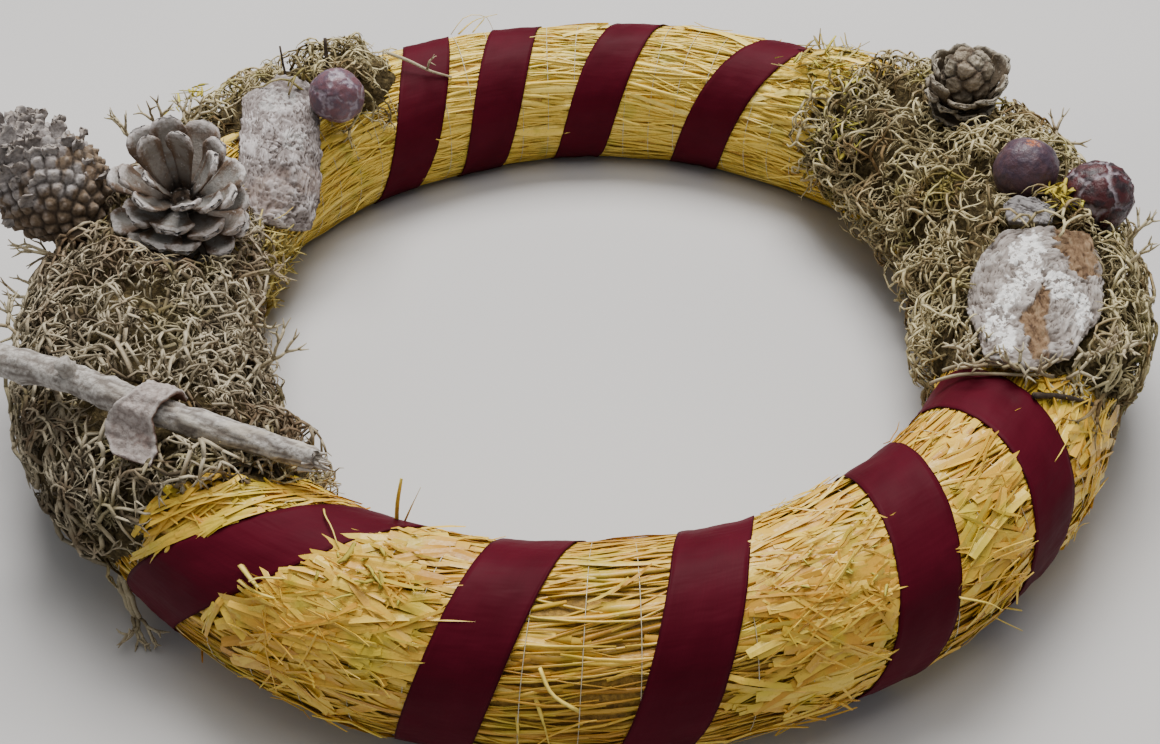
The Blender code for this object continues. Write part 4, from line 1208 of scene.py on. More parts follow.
CLOSED_MIDDLE = np.array((-201.0, 19.0, 83.0))
CLOSED_AXIS = unit((-0.668, 0.587, 0.459))
CLOSED_LENGTH, CLOSED_WIDTH = 57.0, 39.0
CLOSED_WORN_SIDE = unit((-0.55, 0.25, 0.8))
CLOSED_SCALES = 215
CLOSED_GRID = (124, 150)
# Standing scales: ranges of their length, width, thickness and curl, their cup and how deep they sit
STANDING = ((6.0, 9.5), (5.5, 9.0), (1.2, 1.9), (0, 0.3))
STANDING_CUP = 0.12
STANDING_SUNK = 2.2
SMALL_BASE = np.array((156.8, 62.0, 71.0))
SMALL_AXIS = unit((0.03, -0.17, 0.985))
SMALL_LENGTH, SMALL_WIDTH = 24.0, 18.0
SMALL_SCALES = 24
SMALL_GRID = (110, 130)
SMALL_BUD_HEIGHT = 16.5
# The small cone's rows of open scales, as (height, radius, tilt, length, width)
SMALL_ROWS = ((1.0, 5.0, 4, 8.0, 9.0), (4.0, 7.0, 32, 10.5, 9.5), (7.0, 9.0, 58, 16.5, 12.5))
SMALL_IN_ROW = 9


def turned_grid(middle, axis, length, radius_at, rows, columns):
    """Points of a turned shape round an axis, and its faces."""
    axis = unit(axis)
    share = 0.5 - 0.5 * np.cos(np.linspace(0, math.pi, rows))
    ring = round_axis(axis, 2 * math.pi * np.arange(columns) / columns)
    heights, radius = (share - 0.5) * length, radius_at(share)
    points = middle + heights[:, None, None] * axis + radius[:, None, None] * ring
    return points.reshape(-1, 3), [grid_faces(rows, columns, wrap=True)]


def spiral_places(middle, axis, length, radius_at, count, lowest=0.02, highest=0.98):
    """Places of scales on a turned shape, evenly spread over it along the growing spiral."""
    axis = unit(axis)
    fine = np.linspace(0, 1, 400)
    radius = radius_at(fine)
    area = np.cumsum(radius * np.hypot(np.gradient(radius, fine), length))
    wanted = np.linspace(lowest, highest, count)
    share = np.interp(wanted, (area - area[0]) / (area[-1] - area[0]), fine)
    ring = round_axis(axis, np.radians(GOLDEN_ANGLE) * np.arange(count))
    return middle + ((share - 0.5) * length)[:, None] * axis + radius_at(share)[:, None] * ring


def seams(points, places):
    """Distance from each point to the nearest place, its share of the way to the seam between
    two places, and the nearest place."""
    near, second, which = nearest_two(points, places)
    return near, near / np.maximum(near + second, 1e-6) * 2, which


def closed_radius(share):
    """Radius of the closed cone at shares of its length."""
    return CLOSED_WIDTH / 2 * np.sin(math.pi * np.clip(share, 0, 1) ** 0.88) ** 0.72


def closed_outward(points):
    """Outward directions over the closed cone."""
    arm = points - CLOSED_MIDDLE
    return unit(arm - (arm @ CLOSED_AXIS)[:, None] * CLOSED_AXIS * 0.75)


def stand_scale(gather, rng, number, place, outward):
    """One of the worn scales that stand up on the closed cone."""
    shape = [rng.uniform(*span) for span in STANDING]
    points, faces, reach, _, _ = scale_shape(rng, *shape, STANDING_CUP)
    out = unit(outward * rng.uniform(0.35, 0.8) + CLOSED_AXIS * rng.uniform(0.7, 1.1))
    out = unit(out + rng.normal(0, 0.3, 3))
    level = unit(np.cross(outward, CLOSED_AXIS))
    level = unit(level - out * (level @ out))
    over = np.cross(out, level)
    over = over * np.sign(over @ CLOSED_AXIS + 1e-9) * -1
    points = in_frame(points, place - STANDING_SUNK * outward, out, level, over)
    points = points + 0.6 * noise(points, 3.0, seed=number, octaves=2)[:, None] * over
    worn = noise(points, 2.2, seed=number + 300, octaves=2) * ramp(reach, 0.6, 1.0)
    points = points + 1.1 * worn[:, None] * out
    if (np.cross(out, level) @ over) < 0:
        faces = [f[:, ::-1] for f in faces]
    gather.add(
        points, faces, seam=np.clip(0.75 - reach, 0, 1), upper=0.55 + 0.45 * reach,
        knob=ramp(reach, 0.8, 1.0), tone=rng.uniform(0, 1),
    )


def closed_cone_look():
    """Weathered scales: brown below, grey above, with pale knobs and dark seams."""
    look = Look("closed_cone", roughness=0.88, specular=0.25)
    grain = look.noise(1.6, 5)
    look.paint(grain, (0.3, (84, 66, 46)), (0.7, (134, 112, 86)))
    grey = look.colours(grain, (0.3, (122, 116, 114)), (0.7, (190, 184, 182)))
    weather = look.plus(look.field("upper"), look.noise(9, 4), 0.9)
    look.tint(grey, weather, 0.45, 0.85, 0.95, 0.1)
    look.tint((172, 160, 148), look.field("knob"), 0.3, 1.0, 0.5)
    look.tint((44, 36, 30), look.field("seam"), 0.6, 1.0, 0.85)
    look.tint((92, 70, 54), look.field("tone"), 0.5, 1.0, 0.25)
    look.bump(grain, 0.7)
    return look.set()


def make_closed_cone():
    """The closed pine cone: small knobbed scales, the worn ones on its upper side standing up."""
    rng = np.random.default_rng(51)
    body = (CLOSED_MIDDLE, CLOSED_AXIS, CLOSED_LENGTH, closed_radius)
    points, faces = turned_grid(*body, *CLOSED_GRID)
    places = spiral_places(*body, CLOSED_SCALES)
    near, seam, which = seams(points, places)
    outward = closed_outward(points)
    own = rng.uniform(0.5, 1.6, len(places))[which]
    upper = ramp(outward @ CLOSED_WORN_SIDE + 0.25 * noise(points, 12, seed=54), 0.15, 0.6)
    towards_tip = ((points - places[which]) @ CLOSED_AXIS) / 3
    raised = 1.4 * (1 - seam**1.7) * own + 0.75 * np.exp(-((near / 0.9) ** 2)) + 0.25 * towards_tip
    raised += 0.35 * noise(points, 2.2, seed=53) + 0.5 * noise(points, 5, seed=55)
    gather = Gather()
    gather.add(
        points + outward * raised[:, None], faces, seam=seam, upper=upper,
        knob=np.exp(-((near / 1.1) ** 2)), tone=rng.uniform(0, 1, len(places))[which],
    )
    place_out = closed_outward(places)
    worn = place_out @ CLOSED_WORN_SIDE + rng.normal(0, 0.18, len(places)) > 0.3
    for number in np.flatnonzero(worn):
        stand_scale(gather, rng, number, places[number], place_out[number])
    cone = gather.make("cone_closed_scales", closed_cone_look())
    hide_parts("pine_cone_closed")


def small_radius(share):
    """Radius of the small cone's bud at shares of its length."""
    return SMALL_WIDTH / 2 * np.sqrt(np.clip(1 - (2 * share - 1) ** 2, 0, 1)) ** 0.9


def make_small_cup(rng):
    """The open scales round the small cone, in three rows."""
    gather = Gather()
    scales = []
    for row, (height, radius, tilt, length, width) in enumerate(SMALL_ROWS):
        for n in range(SMALL_IN_ROW):
            turn = 360 * (n + 0.5 * (row % 2)) / SMALL_IN_ROW + rng.normal(0, 4)
            front = max(-round_axis(SMALL_AXIS, math.radians(turn))[1], 0)
            lean = tilt + rng.normal(0, 4) - 12 * front
            reach = length * rng.uniform(0.9, 1.05) * (1 - 0.16 * row * front)
            scales.append((height, radius, turn, lean, reach, width, 2.2, 0.10, 0.16))
    place_scales(gather, rng, SMALL_BASE, SMALL_AXIS, scales, 0.6)
    add_core(gather, SMALL_BASE, SMALL_AXIS, (-1, 1, 6, 10, 13), (3, 7, 8.6, 7, 2))
    # The inner faces' brown is darkened further as painted shade inside the cup, and the last colour is the
    # painted shade at the roots.
    look = scale_look("small_cone_scale", (100, 88, 73), (182, 174, 158), (102, 88, 70), (30, 23, 18))
    return gather.make("cone_small_cup", look)


def small_bud_look():
    """Grey-brown scales with dark seams."""
    look = Look("small_cone_bud", roughness=0.85, specular=0.25)
    grain = look.noise(1.5, 5)
    look.paint(grain, (0.3, (112, 102, 86)), (0.7, (174, 164, 146)))
    look.tint((44, 36, 28), look.field("side"), 0.62, 1.0, 0.85)
    look.tint((112, 88, 66), look.field("tone"), 0, 1, 0.3)
    look.bump(grain, 0.6)
    return look.set()


def make_small_cone():
    """The small cone: a tight bud of overlapping scales inside a cup of open ones."""
    rng = np.random.default_rng(61)
    cup = make_small_cup(rng)
    middle = SMALL_BASE + SMALL_AXIS * SMALL_BUD_HEIGHT
    body = (middle, SMALL_AXIS, SMALL_LENGTH, small_radius)
    points, faces = turned_grid(*body, *SMALL_GRID)
    places = spiral_places(*body, SMALL_SCALES, 0.0, 0.97)
    _, seam, which = seams(points, places)
    outward = unit(points - middle)
    towards_tip = np.clip(((points - places[which]) @ SMALL_AXIS) / 4, -1, 1)
    centre_pull = ramp(outward @ SMALL_AXIS, 0.72, 1.0)
    raised = 1.3 * (1 - seam**3) + 0.9 * towards_tip * (1 - centre_pull) + 0.5 * noise(points, 3, seed=62)
    raised -= 2.0 * centre_pull
    points = points + outward * raised[:, None]
    fields = {"side": seam, "tone": rng.uniform(0, 1, len(places))[which]}
    bud = make_piece("cone_small_bud", points, faces, small_bud_look(), fields)
    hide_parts("cone_small")


BALL_ROUGH = 0.12
BALL_UNEVEN = 0.35
BALL_SCALE = 12
LOW_POINT = 0.09
SCAR_EDGE = (0.08, 0.2)


def ball_look(name, palette, paleness):
    """A cypress cone's skin: clouded plates, pale rims and seams, and a bare scar."""
    look = Look(name, specular=0.45)
    grain = look.noise(1.3, 5)
    inner, outer, pale = palette
    look.colour = look.mix(look.step(look.noise(4.2, 4), 0.38, 0.62), outer, inner)
    wear = look.plus(look.plus(look.field("sunk"), look.field("rim"), 0.4), grain, 0.35)
    look.tint(pale, wear, 0.35, 1.05, paleness)
    look.tint(pale, look.noise(0.7, 3), 0.6, 0.76, 0.25)
    look.tint((158, 88, 52), look.field("scar"))
    look.bump(grain, 0.35)
    return look.set(look.step(grain, 0.3, 0.7, 0.3, 0.55))


def plate_centres(rng, plates, uneven):
    """Middles of a cypress cone's plates on a ball of radius one."""
    level = 1 - (2 * np.arange(plates) + 1) / plates
    turn = np.radians(GOLDEN_ANGLE) * np.arange(plates)
    wide = np.sqrt(1 - level**2)
    centres = np.stack([np.cos(turn) * wide, np.sin(turn) * wide, level], -1)
    centres = unit(centres + rng.normal(0, 0.05 + 0.5 * uneven, (plates, 3)))
    pole = unit(rng.normal(size=3))
    return rotate(centres, np.tile(pole, (plates, 1)), np.full(plates, rng.uniform(0, 3)))


def make_ball(name, node, middle, diameter, seed, seam, palette, plates=12, scar=None):
    """A cypress cone: uneven plates with raised rims, sunken seams and a low point each.
    The seam is (depth, width, uneven, paleness); the palette is two colours clouded over the plates, and the
    seams."""
    depth, seam_width, uneven, paleness = seam
    rng = np.random.default_rng(seed)
    shape = bmesh.new()
    bmesh.ops.create_icosphere(shape, subdivisions=5, radius=1.0)
    ball = unit([v.co for v in shape.verts])
    faces = np.array([[v.index for v in f.verts] for f in shape.faces])
    shape.free()
    centres = plate_centres(rng, plates, uneven)
    warped = unit(ball + uneven * np.stack([noise(ball, 0.7, seed + k) for k in range(3)], -1))
    near, second, _ = nearest_two(warped, centres)
    gap = second - near
    sunk = 1 - ramp(gap, 0.15 * seam_width, seam_width)
    rim = np.exp(-(((gap - 1.25 * seam_width) / (0.5 * seam_width)) ** 2))
    point = np.exp(-((near / LOW_POINT) ** 2))
    grown = ball * BALL_SCALE
    height = depth * (0.3 * rim - sunk + 0.5 * point)
    height += BALL_ROUGH * noise(grown, 3, seed) + BALL_UNEVEN * noise(grown, 14, seed + 9)
    scarred = 0 * gap
    if scar is not None:
        away = np.arccos(np.clip(ball @ unit(scar), -1, 1))
        scarred = 1 - ramp(away + 0.16 * noise(grown, 2.0, seed + 5), *SCAR_EDGE)
        height += scarred * (0.5 * noise(grown, 1.2, seed + 6) - 0.2)
    points = np.array(middle) + ball * (diameter / 2 + height)[:, None]
    fields = {"sunk": sunk, "rim": rim, "scar": scarred}
    piece = make_piece(name, points, [faces], ball_look(name, palette, paleness), fields)
    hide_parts(node)


def make_balls():
    """The three round cypress cones."""
    make_ball(
        "cypress_left", "cypress_ball_left", (-102.3, 101.5, 69.0), 23.4, 71, (0.5, 0.13, 0.17, 0.75),
        ((110, 72, 80), (90, 72, 86), (158, 146, 158)), plates=13,
    )
    make_ball(
        "cypress_plum", "cypress_ball_plum", (166.9, 3.7, 78.0), 23.6, 75, (0.12, 0.14, 0.12, 0.12),
        ((84, 58, 66), (64, 48, 62), (110, 96, 110)), scar=(0.02, -0.02, 1.0),
    )
    make_ball(
        "cypress_dark", "cypress_ball_dark", (190.2, -8.6, 72.6), 26.4, 77, (1.0, 0.09, 0.09, 0.9),
        ((74, 26, 30), (36, 20, 26), (150, 138, 146)), plates=18,
    )


# Bark

BARK_LEFT_OUTLINE = (
    (-7, -27.5), (-29, -26), (-35, -15), (-21, 4), (4, 32),
    (15, 40), (27, 31), (38.5, 20.5), (32, 5), (12, -12),
)
BARK_RIGHT_OUTLINE = (
    (27, 21), (30, 4), (34.5, -9), (20, -15.7), (-3, -18.6),
    (-27.6, -10.3), (-40.5, 3), (-36.6, 17.4), (-9.5, 28), (13, 28),
)
CHIP_OUTLINE = ((-5, 8), (-6, -1), (-4, -9), (2, -10), (5, -3), (6, 4), (3, 9))

# Patches on bark, as (u, s, half length, half width) in mm
BARE_PATCHES = (
    (25, -6, 11, 8), (15, -9, 7, 5), (-7, 2.5, 7, 2.4), (-17, 3.5, 9, 4.2), (-28, 1.5, 8, 3.4),
)
WHITE_PATCHES = (
    (16, 11, 9, 6), (3, 8, 6, 4), (1, -2.5, 7, 5.5), (-6, 13, 8, 4), (-20, 16, 9, 4), (-8, -11, 8, 3.4),
    (-30, 11, 6, 3),
)
KNOT = ((-34.5, -2.0, 3.2, 3.6),)
SMOOTH_PATCHES = ((24, 16, 14, 9), (2, 22, 9, 6))
PALE_PATCHES = ((-14, -14, 9, 6), (-4, 4, 6, 5))
BARK_AROUND = 210
BARK_UP_LEFT = (0.50, -0.32, 0.80)
BARK_UP_RIGHT = (0.02, -0.14, 0.99)
CHIP_UP = (0.02, -0.40, 0.92)
CRACK_WIDTH = 0.09
FISSURE_WIDTH = 0.075
CREASE_DEPTH = 2.2
# How the rim runs down from the top: share of the thickness, and how far it juts out in mm
BARK_RIM = ((0.3, 0.3), (0.55, -0.4), (0.8, 0.2), (1.0, -0.3))


def rounded_outline(corners, count):
    """Even points round a closed polygon, with its corners slightly rounded."""
    closed = np.array([*corners, corners[0]], float)
    far = run_along(closed)
    at = np.linspace(0, far[-1], count, endpoint=False)
    line = np.stack([np.interp(at, far, column) for column in closed.T], -1)
    for _ in range(4):
        line = (np.roll(line, 1, axis=0) + 2 * line + np.roll(line, -1, axis=0)) / 4
    return line


def flakes(flat, size, seed):
    """Heights of overlapping bark flakes, a step for each, and the cracks between them.
    Size is (u, s) mm."""
    rng = np.random.default_rng(seed)
    scaled = flat / (*size, 1.0)
    scaled = scaled + 0.35 * flat_points(noise(scaled, 1.4, seed + 1), noise(scaled, 1.4, seed + 2))
    reach = np.abs(scaled).max() + 1
    cells = flat_points(*rng.uniform(-reach, reach, (2, int(4 * reach**2))))
    near, second, which = nearest_two(scaled, cells)
    own = rng.uniform(-1, 1, len(cells))[which]
    leaning = ((scaled - cells[which]) * rng.normal(0, 0.5, (len(cells), 3))[which]).sum(1)
    crack = np.exp(-(((second - near) / CRACK_WIDTH) ** 2))
    crack = crack * ramp(own + noise(flat, 5, seed + 3), -0.9, 0.3)
    return 0.6 * own + leaning - 0.8 * crack, crack


def bark_relief(flat, relief, grain, seed):
    """Heights in mm of a bark plate's upper side, and how far each point lies in a crack."""
    broad, crack = flakes(flat, grain, seed + 2)
    small, fine_crack = flakes(flat, np.array(grain) * 0.4, seed + 6)
    bent = flat + 3.0 * flat_points(noise(flat, 9, seed + 11), noise(flat, 8, seed + 12))
    crease = np.abs(noise(bent, 8, seed + 13, octaves=2))
    fissure = np.exp(-((crease / FISSURE_WIDTH) ** 2)) * ramp(noise(flat, 20, seed + 14), -0.4, 0.1)
    rough = relief * (
        0.45 * noise(flat, 16, seed + 1) + CREASE_DEPTH * (np.minimum(crease, 0.4) - 0.2) + 0.5 * broad
        + 0.04 * small + 0.03 * noise(flat, 1.6, seed + 3, octaves=2)
    )
    return rough, np.max([crack, 0.15 * fine_crack, fissure], axis=0)


def bark_plate(theta, middle, normal, curve, outline, thickness, relief, ragged, grain, seed, rings=46):
    """A curved plate with a ragged outline and a flaky top. Returns its points, faces, the relief
    and crack at each point, and the place of each as (along the ring, round the tube) in mm."""
    normal = unit(normal)
    t = math.radians(theta)
    along = np.array([-math.sin(t), math.cos(t), 0])
    along = unit(along - normal * (along @ normal))
    across = np.cross(normal, along)
    axis_point = np.array(middle) - normal * curve
    edge = rounded_outline(outline, BARK_AROUND)
    centre = edge.mean(0)
    outward = unit(edge - centre)
    edge = edge + outward * (ragged * noise(flat_points(*edge.T), 8, seed, octaves=4))[:, None]

    def place(share, depth, jut=0.0):
        """A ring of points at a share of the way to the edge and a depth below the plate's top."""
        u, s = (centre + (edge - centre) * share + jut * outward).T
        bend = s / curve
        radial = normal * np.cos(bend)[:, None] + across * np.sin(bend)[:, None]
        rough, crack = bark_relief(flat_points(u, s), relief, grain, seed)
        rough = rough if depth <= 0 else 0 * rough
        shrink = 0.5 * ramp(share, 0.94, 1.0) * relief if depth <= 0 else 0.0
        points = axis_point + radial * (curve - depth + rough - shrink)[:, None] + along * u[:, None]
        return points, rough, crack, u, s

    loops = [place(share, 0.0) for share in np.linspace(0.02, 1.0, rings) ** 0.8]
    loops += [place(1.0, depth * thickness, jut) for depth, jut in BARK_RIM]
    loops += [place(share, thickness) for share in (0.7, 0.35, 0.02)]
    faces = closed_faces(len(loops), BARK_AROUND)
    points, relief, crack, u, s = (np.concatenate(values) for values in zip(*loops))
    return points, faces, relief, crack, u, s


def patch(u, s, places, seed, broken=0.28):
    """1 inside rounded patches given as (u, s, half length, half width), with broken edges."""
    flat = flat_points(u, s)
    found = np.zeros(len(u))
    for k, (mid_u, mid_s, long, wide) in enumerate(places):
        away = np.hypot((u - mid_u) / long, (s - mid_s) / wide)
        away = away + broken * noise(flat, 6, seed + k, octaves=5)
        found = np.maximum(found, 1 - ramp(away, 0.9, 1.02))
    return found


def bark_look(name, base, dark, white, bare, bare_dark):
    """Flaky bark: dark cracks, pale edges on what stands up, and bare wood in patches."""
    look = Look(name, roughness=0.92, specular=0.2)
    scales, grain = look.noise(4.0, 3), look.noise(0.8, 4)
    pits = look.times(look.plus(look.field("relief"), look.plus(scales, 0.3)), 0.6)
    look.paint(pits, (0.1, dark), (0.36, base), (0.6, base), (0.9, white))
    look.tint(dark, look.noise(9, 4), 0.42, 0.66, 0.4)
    look.tint((84, 74, 68), look.field("crack"), 0.3, 0.8, 0.75)
    look.tint(white, grain, 0.56, 0.7, 0.12)
    crust = look.step(look.noise(2.6, 3), 0.44, 0.48, 0.05, 1.0)
    look.tint((226, 225, 223), look.times(look.field("white"), crust))
    run = look.noise(2.2, 5, stretch=(1, 0.3, 1))
    wood = look.colours(run, (0.36, bare_dark), (0.5, bare), (0.7, (150, 128, 102)))
    look.tint(wood, look.field("bare"))
    look.bump(look.plus(look.times(scales, 1.2), grain, 0.1), 0.18, 0.8)
    return look.set()


def make_bark():
    """The two bark plates and the chip between them and the round cones."""
    points, faces, relief, crack, u, s = bark_plate(
        147, (-124.8, 81.1, 61.4), BARK_UP_LEFT, 58.0, BARK_LEFT_OUTLINE, 3.3, 1.1, 1.0, (6.5, 5.0), 81,
    )
    look = bark_look(
        "bark_grey", (143, 134, 131), (112, 102, 99), (194, 187, 186), (150, 128, 118), (120, 100, 92),
    )
    smooth = patch(u, s, SMOOTH_PATCHES, 86)
    white = 0.4 * patch(u, s, PALE_PATCHES, 85)
    fields = {"relief": relief, "crack": crack * (1 - 0.7 * smooth), "white": white, "bare": 0.35 * smooth}
    left = make_piece("bark_left", points, faces, look, fields)
    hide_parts("bark_plate_left")
    points, faces, relief, crack, u, s = bark_plate(
        339, (158.7, -60.9, 73.0), BARK_UP_RIGHT, 42.0, BARK_RIGHT_OUTLINE, 3.3, 1.0, 1.0, (7.5, 4.5), 91,
    )
    bare = patch(u, s, BARE_PATCHES, 95, 0.4)
    white = patch(u, s, WHITE_PATCHES, 99, 0.45)
    knot = patch(u, s, KNOT, 97)
    points = points - (1.1 * bare + 1.0 * knot)[:, None] * unit(BARK_UP_RIGHT)
    look = bark_look(
        "bark_patched", (146, 137, 131), (96, 87, 81), (182, 176, 171), (122, 97, 73), (70, 52, 38),
    )
    fields = {"relief": relief - 2.2 * knot, "crack": crack, "white": white, "bare": bare}
    right = make_piece("bark_right", points, faces, look, fields)
    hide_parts("bark_plate_right")
    points, faces, relief, crack, _, _ = bark_plate(
        353, (162.1, -19.9, 76.5), CHIP_UP, 20.0, CHIP_OUTLINE, 2.8, 0.8, 0.5, (3.5, 6.0), 101, rings=14,
    )
    look = bark_look(
        "bark_flake", (150, 146, 146), (104, 98, 96), (182, 178, 178), (150, 128, 110), (110, 90, 70),
    )
    chip = make_piece("bark_flake", points, faces, look, {"relief": relief, "crack": crack})
    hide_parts("bark_chip")


# Twig and the strip of bark over it

# The twig's middle line as (x, y, z, radius), its knots as (share of its length, height), and the
# strip as (across the twig, height over it, shift along it, half width)
TWIG_LINE = (
    (-200.0, -79.5, 80.5, 5.3), (-187.5, -84.5, 79.5, 5.6), (-165.0, -93.5, 79.2, 5.1),
    (-150.0, -101.5, 78.6, 5.3), (-136.0, -108.0, 77.0, 5.0), (-122.0, -112.0, 74.0, 4.6),
    (-100.0, -118.0, 69.0, 4.4), (-84.5, -122.5, 66.0, 3.6),
)
TWIG_KNOTS = ((0.2, 0.8), (0.43, 0.5), (0.72, 0.6))
KNOT_LENGTH = 0.018
TWIG_STEPS = 150
TWIG_ROUND = 28
TWIG_SPLINTERS = 22
STUB_LINE = ((-161.0, -95.0, 79.0), (-163.0, -97.0, 88.5))
STRIP_PLACE = 8
STRIP_STEPS = 60
STRIP_ACROSS = 17
STRIP_ABOVE, STRIP_BELOW = 0.8, 0.5
STRIP_LINE = (
    (-16.4, -6.0, 3.6, 6.8), (-11.5, -4.2, 0.8, 8.6), (-8.4, -0.4, -0.8, 8.4), (-6.6, 4.4, -0.6, 6.2),
    (-1.4, 7.2, 1.6, 5.2), (4.0, 6.6, 2.8, 5.0), (7.8, 3.0, 3.6, 4.4), (9.0, -1.6, 4.0, 3.4),
)


def twig_line(steps):
    """Points and radii along the twig's middle line."""
    *place, radius = smooth_columns(TWIG_LINE, steps)
    return np.stack(place, -1), radius


def add_splinters(gather, line):
    """Torn fibres at the twig's right end."""
    rng = np.random.default_rng(116)
    out = unit(line[-1] - line[-6])
    count = TWIG_SPLINTERS
    starts = line[-4] + rng.normal(0, 1.7, (count, 3))
    ways = unit(out + rng.normal(0, 0.2, (count, 3)))
    share = np.linspace(0, 1, 5)
    paths = starts[:, None] + ways[:, None] * (share[None, :, None] * rng.uniform(2.5, 6.0, (count, 1, 1)))
    points, faces = tubes(paths, rng.uniform(0.4, 1.1, (count, 1)) * (1 - 0.7 * share), 5)
    gather.add(points, faces, bare=0.6, groove=0.0)


def add_stub(gather):
    """The stub of a side branch."""
    start, end = np.array(STUB_LINE)
    share = np.linspace(0, 1, 12)[:, None]
    radii = np.interp(share.T, (0, 0.4, 0.9, 1), (4.2, 3.0, 2.6, 1.6))
    points, faces = tubes((start + (end - start) * share)[None], radii, 14)
    gather.add(points + 0.5 * noise(points, 3, 115)[:, None], faces, bare=0.2, groove=0.2)


def twig_look():
    """Bleached wood, grey and grooved, with bare streaks and dark marks."""
    look = Look("bleached_twig", specular=0.3)
    grain = look.noise(1.2, 5)
    streaks = look.noise(4, 4, stretch=(0.3, 1, 1))
    look.paint(grain, (0.3, (128, 121, 114)), (0.5, (172, 166, 159)), (0.75, (204, 199, 193)))
    wood = look.colours(streaks, (0.35, (172, 162, 148)), (0.7, (212, 205, 194)))
    look.tint(wood, look.field("bare"))
    look.tint((100, 90, 82), look.times(look.field("groove"), 0.8))
    look.tint((96, 84, 76), look.noise(6, 3), 0.6, 0.74, 0.6)
    look.bump(look.plus(grain, streaks), 0.5, 0.8)
    return look.set()


def make_twig():
    """The bleached twig: knobbly, with a stub and a splintered right end."""
    line, radius = twig_line(TWIG_STEPS)
    along = np.linspace(0, 1, TWIG_STEPS)
    radius = radius * 0.93 + sum(h * np.exp(-(((along - at) / KNOT_LENGTH) ** 2)) for at, h in TWIG_KNOTS)
    radius[:3] *= (0.72, 0.9, 0.98)
    gather = Gather()
    ups = np.broadcast_to((0, 0, 1.0), line.shape)[None]
    points, faces = tubes(line[None], radius[None], TWIG_ROUND, ups)
    outward = unit(points - np.repeat(line, TWIG_ROUND, axis=0))
    share = np.repeat(along, TWIG_ROUND)
    stretched = np.stack([share * 5, outward @ (0, 0, 1), outward @ (0.4, 0.9, 0)], -1)
    streak = noise(stretched * 5, 1.9, 111)
    grooves = 0.4 * streak + 0.12 * noise(points, 2, 112)
    cut = ramp(share, 0.985, 1.0) * 1.4 * noise(outward * 6, 3, 113)
    points = points + outward * grooves[:, None] + cut[:, None] * unit(line[-1] - line[-4])
    bare = ramp(noise(stretched * 4, 4, 114), 0.1, 0.35) * ramp(share, 0.35, 0.6)
    gather.add(points, faces, bare=bare, groove=ramp(-streak, 0.02, 0.4))
    add_stub(gather)
    add_splinters(gather, line)
    twig = gather.make("bare_twig", twig_look())
    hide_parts("twig")


def strip_look():
    """Grey bark with a reddish, worn inner side and pale edges."""
    look = Look("folded_bark", roughness=0.88, specular=0.25)
    grain = look.noise(1.6, 5)
    look.paint(grain, (0.3, (126, 114, 108)), (0.5, (164, 152, 146)), (0.75, (192, 182, 176)))
    look.tint((196, 188, 182), look.field("edge"), 0.75, 1.0, 0.6)
    reddish = look.colours(grain, (0.3, (104, 70, 60)), (0.75, (146, 108, 92)))
    worn = look.step(look.noise(7, 3), 0.6, 0.72, 0.0, 0.35)
    look.tint(reddish, look.maths("MAXIMUM", look.field("inner"), worn))
    look.bump(grain, 0.7)
    return look.set()


def make_strip():
    """The strip of bark folded over the twig, ragged at its edges and curling at its ends."""
    line, _ = twig_line(15)
    middle, along = line[STRIP_PLACE], unit(line[STRIP_PLACE + 1] - line[STRIP_PLACE - 1])
    side, up = across_to(along)
    side, up = side * np.sign(side[1]), up * np.sign(up[2])
    x = np.linspace(0, len(STRIP_LINE) - 1, STRIP_STEPS)
    across, height, shift, half = (
        0.3 * smooth + 0.7 * np.interp(x, np.arange(len(STRIP_LINE)), values)
        for smooth, values in zip(smooth_columns(STRIP_LINE, STRIP_STEPS), zip(*STRIP_LINE))
    )
    run = unit(np.stack([np.gradient(across), np.gradient(height)], -1))
    out = side * -run[:, 1:] + up * run[:, :1]
    centre = middle + across[:, None] * side + height[:, None] * up + shift[:, None] * along
    wide = np.linspace(-1, 1, STRIP_ACROSS)
    ragged = 1 + 0.1 * noise(flat_points(x * 6, 0 * x), 5, 121)
    face = centre[:, None] + (half * ragged)[:, None, None] * wide[None, :, None] * along
    crumple = 0.55 * noise(face, 5, 122) + 0.3 * noise(face, 2, 123)
    upper = face + (STRIP_ABOVE + crumple)[..., None] * out[:, None]
    lower = face + (0.5 * crumple - STRIP_BELOW)[..., None] * out[:, None]
    points, faces, rows, _ = slab(upper, lower)
    fields = {
        "inner": np.tile(np.repeat((0.0, 1.0), STRIP_ACROSS), rows),
        "edge": np.tile(np.abs(np.concatenate([wide, wide[::-1]])), rows),
    }
    strip = make_piece("folded_bark", points, faces, strip_look(), fields)
    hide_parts("bark_strip")


# Loose bits: stems, sticks, lichen sprigs, chaff and single straws

# Places of chaff, as (theta, phi, lift, spread in mm)
YELLOW_GREEN_PLACES = (
    (354.6, 84, 19.5, 3.2), (356.6, 78, 18, 3.6), (33.8, 147, 12, 6), (47.0, 104, 7, 7),
    (40.5, 112, 10, 6), (248.0, 78, 1, 6), (293.0, 69, 1, 7), (146.0, 47, 20, 5),
)
OLIVE_PLACES = ((170, 166, 9, 9), (164, 196, 7, 8), (160, 178, 7, 8), (44, 110, 6, 9), (46, 80, 5, 8))

